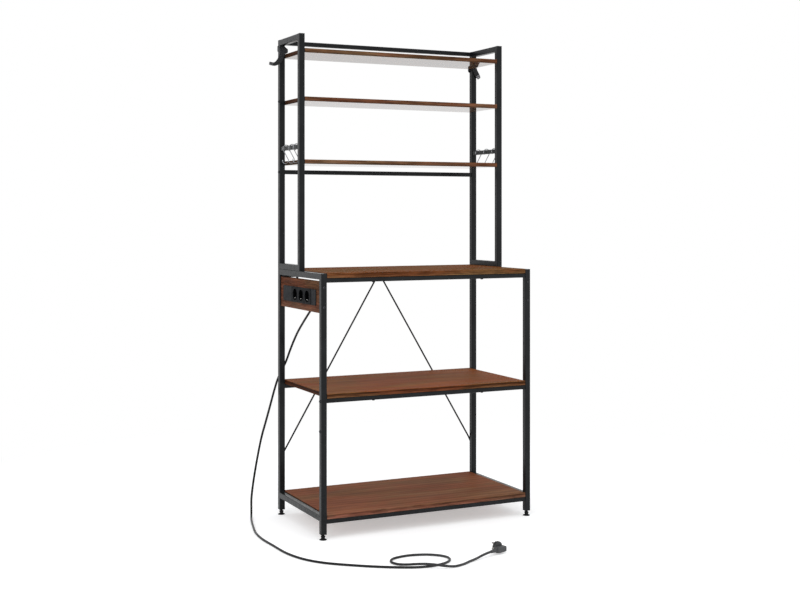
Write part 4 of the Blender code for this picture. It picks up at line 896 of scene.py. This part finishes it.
def make_straps():
    """Webbing loop with its stitched hanging tail and drilled plate, round each back post of the hutch."""
    forward = Vector((0.0, -1.0, 0.0))
    for word, side in SIDES:
        centre = Vector((side * POST_X, BACK_POST_Y, STRAP_CENTRE[word]))
        stations = smooth_points(STRAP_LOOPS[word], STRAP_LOOP_STATIONS)
        line = [centre + Vector((side * outward, back, up)) for outward, back, up, _ in stations]
        normals = [Vector((-way.y, way.x, 0.0)).normalized() for way in ways_along(line)]
        ups = [Vector((0.0, 0.0, 1.0))] * len(line)
        strap = band(line, normals, ups, [station[3] for station in stations], STRAP_THICKNESS)

        stations = smooth_points(STRAP_TAILS[word], STRAP_TAIL_STATIONS)
        widths = [station[2] for station in stations]
        tail = []
        for index, (outward, up, _) in enumerate(stations):
            drift = TAIL_DRIFT * (index / (STRAP_TAIL_STATIONS - 1)) ** 2
            tail.append(centre + Vector((side * outward, -STRAP_HUG - TAIL_AHEAD - drift, up)))
        ups = [Vector((-way.z, 0.0, way.x)).normalized() for way in ways_along(tail)]
        normals = [forward] * len(tail)
        absorb(strap, band(tail, normals, ups, widths, STRAP_THICKNESS))
        stitched(strap, tail, ups, normals, widths)
        made = piece(f"strap_webbing_{word}", strap, "black_webbing", "rack", angle=50)
        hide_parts(f"wall_strap_{word}")

        (outward, up), turn, length, width = STRAP_PLATES[word]
        along = Vector((side * math.cos(turn), 0.0, math.sin(turn)))
        spot = centre + Vector((side * outward, tail[-1].y - centre.y - STRAP_PLATE_AHEAD, up))
        plate = drilled_plate(spot, along, forward, length, width)
        lathe(plate, spot, forward, EYELET_PROFILE, closed=True)
        made = piece(f"strap_end_plate_{word}", plate, "strap_plate_zinc", "rack")
        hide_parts(f"strap_plate_{word}")


make_straps()


# Sockets

# One half of an earth contact: (x, distance above or below the centre)
EARTH_CONTACT_LINE = (
    (-0.3983, 0.0132), (-0.3990, 0.0121), (-0.3988, 0.0107), (-0.3975, 0.0102), (-0.3958, 0.0112),
    (-0.3935, 0.0145), (-0.3915, 0.0172), (-0.3890, 0.0184), (-0.3855, 0.0186), (-0.3822, 0.0186),
    (-0.3801, 0.0180), (-0.3798, 0.0160), (-0.3798, 0.0060),
)
# The upper half reaches out of the socket's floor only this far
UPPER_CONTACT_SHARE = 0.52
EARTH_CONTACT_WIDTH = 0.0045
EARTH_CONTACT_THICKNESS = 0.0007
EARTH_CONTACT_STATIONS = 120
CONTACT_SPREAD = 0.0095
# (radius, distance out of the socket) rings of a sleeve from the socket's floor and of a rim
SLEEVE_PROFILE = (
    (0.0022, 0.0012), (0.0022, -0.0045), (0.0027, -0.0045), (0.0027, 0.0010), (0.0025, 0.0012),
)
RIM_PROFILE = (
    (0.0198, 0.0001), (0.0199, 0.0004), (0.0203, 0.0006), (0.0207, 0.0004), (0.0208, 0.0001),
)


def make_sockets():
    """Sprung earth contact, contact sleeves and moulded rim of each socket."""
    sleeves = bmesh.new()
    rims = bmesh.new()
    outward = (-1.0, 0.0, 0.0)
    for number, y in enumerate(SOCKET_PLACES, start=1):
        web = EARTH_CONTACT_LINE[-1][0]
        above = [
            Vector((web + (x - web) * UPPER_CONTACT_SHARE, y, STRIP_LEVEL + up))
            for x, up in EARTH_CONTACT_LINE
        ]
        below = [Vector((x, y, STRIP_LEVEL - up)) for x, up in EARTH_CONTACT_LINE[::-1]]
        line = smooth_points(above + below, EARTH_CONTACT_STATIONS)
        bm = flat_spring(line, EARTH_CONTACT_WIDTH, EARTH_CONTACT_THICKNESS, (0.0, 1.0, 0.0))
        name = f"earth_contact_{number}"
        made = piece(name, bm, "bright_spring_steel", "rack", angle=50)
        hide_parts(f"earth_clip_{number}")
        for way in (-1, 1):
            place = (SOCKET_BACK, y + way * CONTACT_SPREAD, STRIP_LEVEL)
            lathe(sleeves, place, outward, SLEEVE_PROFILE, closed=True)
        lathe(rims, (SOCKET_FRONT, y, STRIP_LEVEL), outward, RIM_PROFILE, sides=64, closed=True)
    piece("contact_sleeves", sleeves, "contact_brass", "rack")
    piece("socket_rims", rims, "dark_grey_plastic", "rack")


make_sockets()


# Screws, welds and threads

# Rings of a screw's head and of the hexagon socket in it: (radius, height)
SCREW_PROFILE = (
    (0.0046, 0.0001), (0.0052, 0.0005), (0.0050, 0.0013), (0.0043, 0.0021), (0.0033, 0.0026),
    (0.0025, 0.0028), (0.0020, 0.0028, "hexagon"), (0.0020, 0.0012, "hexagon"),
)
# Places in the outer sides (y, z), in the fronts (z) and under the boards' rails (x, y, z)
OUTER_SCREWS = ((BACK_POST_Y, 1.4715), (BACK_POST_Y, 1.2200), (-0.1930, 0.4550), (-0.1930, 0.3560))
FRONT_SCREWS = (0.8290, 0.7640)
BOARD_SCREWS = tuple((0.2080, y, z) for y in (-BASE_POST_Y, BASE_POST_Y) for z in (0.8452, 0.4495))
WELD_RADIUS = 0.0016
WELD_REACH = 0.0086
WELD_RIPPLE = 0.06
WELD_STATIONS = 25
BASE_WELD_LEVELS = (0.8550, 0.0800, 0.0600)
HUTCH_WELD_LEVELS = (0.8953, 1.6700, 1.2950, 1.3100)
THREAD_PITCH = 0.00125
THREAD_LEVELS = (0.0136, 0.0400)
THREAD_STEPS = 24
# Section of the thread's ridge: (radius, height)
THREAD_SECTION = ((0.00398, -0.00050), (0.00422, -0.00008), (0.00422, 0.00008), (0.00398, 0.00050))


def make_screws():
    """Button-head screws with hexagon sockets in the posts and under the boards' rails."""
    for word, side in SIDES:
        bm = bmesh.new()
        for y, z in OUTER_SCREWS:
            lathe(bm, (side * (POST_X + POST_HALF), y, z), (side, 0.0, 0.0), SCREW_PROFILE)
        for z in FRONT_SCREWS:
            lathe(bm, (side * POST_X, -BASE_POST_Y - POST_HALF, z), (0.0, -1.0, 0.0), SCREW_PROFILE)
        for x, y, z in BOARD_SCREWS:
            lathe(bm, (side * x, y, z), (0.0, 0.0, -1.0), SCREW_PROFILE)
        piece(f"button_screws_{word}", bm, "black_zinc", "rack")


def make_welds():
    """Rippled weld beads in the inner corners of the four side frames."""
    inner_base = BASE_POST_Y - POST_HALF
    corners = [(y, z) for y in (-inner_base, inner_base) for z in BASE_WELD_LEVELS]
    inner_front = HUTCH_FRONT_POST_Y + POST_HALF
    corners += [(y, z) for y in (inner_front, inner_base) for z in HUTCH_WELD_LEVELS]
    for word, side in SIDES:
        bm = bmesh.new()
        middle = side * POST_X
        for y, z in corners:
            start, end = (middle - WELD_REACH, y, z), (middle + WELD_REACH, y, z)
            bead(bm, start, end, WELD_RADIUS, WELD_RIPPLE, WELD_STATIONS)
        piece(f"weld_beads_{word}", bm, "black_powder_coat", "rack", angle=60)


def make_threads():
    """Fine thread ridge up the stem of each levelling foot."""
    low, high = THREAD_LEVELS
    steps = round((high - low) / THREAD_PITCH * THREAD_STEPS)
    for word, side in SIDES:
        for depth, way in (("front", -1), ("back", 1)):
            bm = bmesh.new()
            rings = []
            for step in range(steps + 1):
                angle = math.tau * step / THREAD_STEPS
                level = low + THREAD_PITCH * step / THREAD_STEPS
                spoke = Vector((math.cos(angle), math.sin(angle), 0.0))
                centre = Vector((side * POST_X, way * BASE_POST_Y, level))
                rings.append([
                    bm.verts.new(centre + spoke * reach + Vector((0.0, 0.0, up)))
                    for reach, up in THREAD_SECTION
                ])
            joined(bm, rings)
            foot = f"{depth}_{word}"
            piece(f"stem_thread_{foot}", bm, "black_plastic", f"foot_{foot}")


make_screws()
make_welds()
make_threads()


# Studio

WHITE = (1.0, 1.0, 1.0, 1.0)
SKY = (0.96, 0.98, 1.0, 1.0)
SKY_STRENGTH = 0.80
FLOOR_HALF = 14.0
FLOOR_GREY = (0.86, 0.86, 0.86, 1.0)
FLOOR_LIFT = 0.40
FLOOR_FADE = (1.1, 2.0)
# (name, place, point aimed at, size, watts)
LAMPS = (
    ("key", (-3.2, -2.2, 1.8), (0.0, 0.0, 0.8), 2.4, 42.0),
    ("top", (0.3, -1.6, 4.0), (0.0, 0.0, 0.6), 3.0, 26.0),
    ("fill", (2.2, -3.2, 0.7), (0.0, 0.0, 0.9), 2.0, 5.0),
)


def seen_rays(tree):
    """1 for rays from the camera, in reflections and through glass, and 0 for light."""
    path = node(tree, "LightPath").outputs
    bounced = calculated(tree, "MAXIMUM", path["Is Glossy Ray"], path["Is Transmission Ray"])
    return calculated(tree, "MAXIMUM", path["Is Camera Ray"], bounced)


def make_world():
    """White all round to the camera, and a weaker light on the rack."""
    world = bpy.data.worlds.new("studio")
    bpy.context.scene.world = world
    world.use_nodes = True
    tree = world.node_tree
    soft = tree.nodes["Background"]
    soft.inputs["Color"].default_value = SKY
    soft.inputs["Strength"].default_value = SKY_STRENGTH
    white = node(tree, "Background", {"Color": WHITE})
    both = node(tree, "MixShader", {0: seen_rays(tree), 1: soft.outputs[0], 2: white.outputs[0]})
    tree.links.new(both.outputs[0], tree.nodes["World Output"].inputs["Surface"])


def make_floor():
    """Plain pale floor with a soft shadow. The camera sees it lifted, and fading to white further out."""
    mesh = bpy.data.meshes.new("studio_floor")
    corners = [(x * FLOOR_HALF, y * FLOOR_HALF, 0.0) for x, y in ((-1, -1), (1, -1), (1, 1), (-1, 1))]
    mesh.from_pydata(corners, [], [(0, 1, 2, 3)])
    made = bpy.data.objects.new("studio_floor", mesh)
    bpy.context.scene.collection.objects.link(made)
    look, tree, shader, coords = new_look("studio_floor", roughness=0.9, specular=0.1)
    shader.inputs["Base Color"].default_value = FLOOR_GREY
    seen = seen_rays(tree)
    strength = calculated(tree, "MULTIPLY", seen, FLOOR_LIFT)
    lift = node(tree, "Emission", {"Color": WHITE, "Strength": strength})
    near = node(tree, "AddShader", {0: shader.outputs[0], 1: lift.outputs[0]})
    away = node(tree, "VectorMath", {0: coords}, operation="LENGTH").outputs["Value"]
    far = calculated(tree, "MULTIPLY", seen, ranged(tree, away, *FLOOR_FADE))
    white = node(tree, "Emission", {"Color": WHITE})
    faded = node(tree, "MixShader", {0: far, 1: near.outputs[0], 2: white.outputs[0]})
    tree.links.new(faded.outputs[0], tree.nodes["Material Output"].inputs["Surface"])
    mesh.materials.append(look)


def make_lamps():
    """Square soft lamps, each facing its point."""
    for name, place, aim, size, watts in LAMPS:
        data = bpy.data.lights.new(name, "AREA")
        data.size = size
        data.energy = watts
        made = bpy.data.objects.new(name, data)
        made.location = place
        made.rotation_euler = (Vector(aim) - Vector(place)).to_track_quat("-Z", "Y").to_euler()
        bpy.context.scene.collection.objects.link(made)


make_world()
make_floor()
make_lamps()

bpy.context.scene.view_settings.view_transform = "Standard"
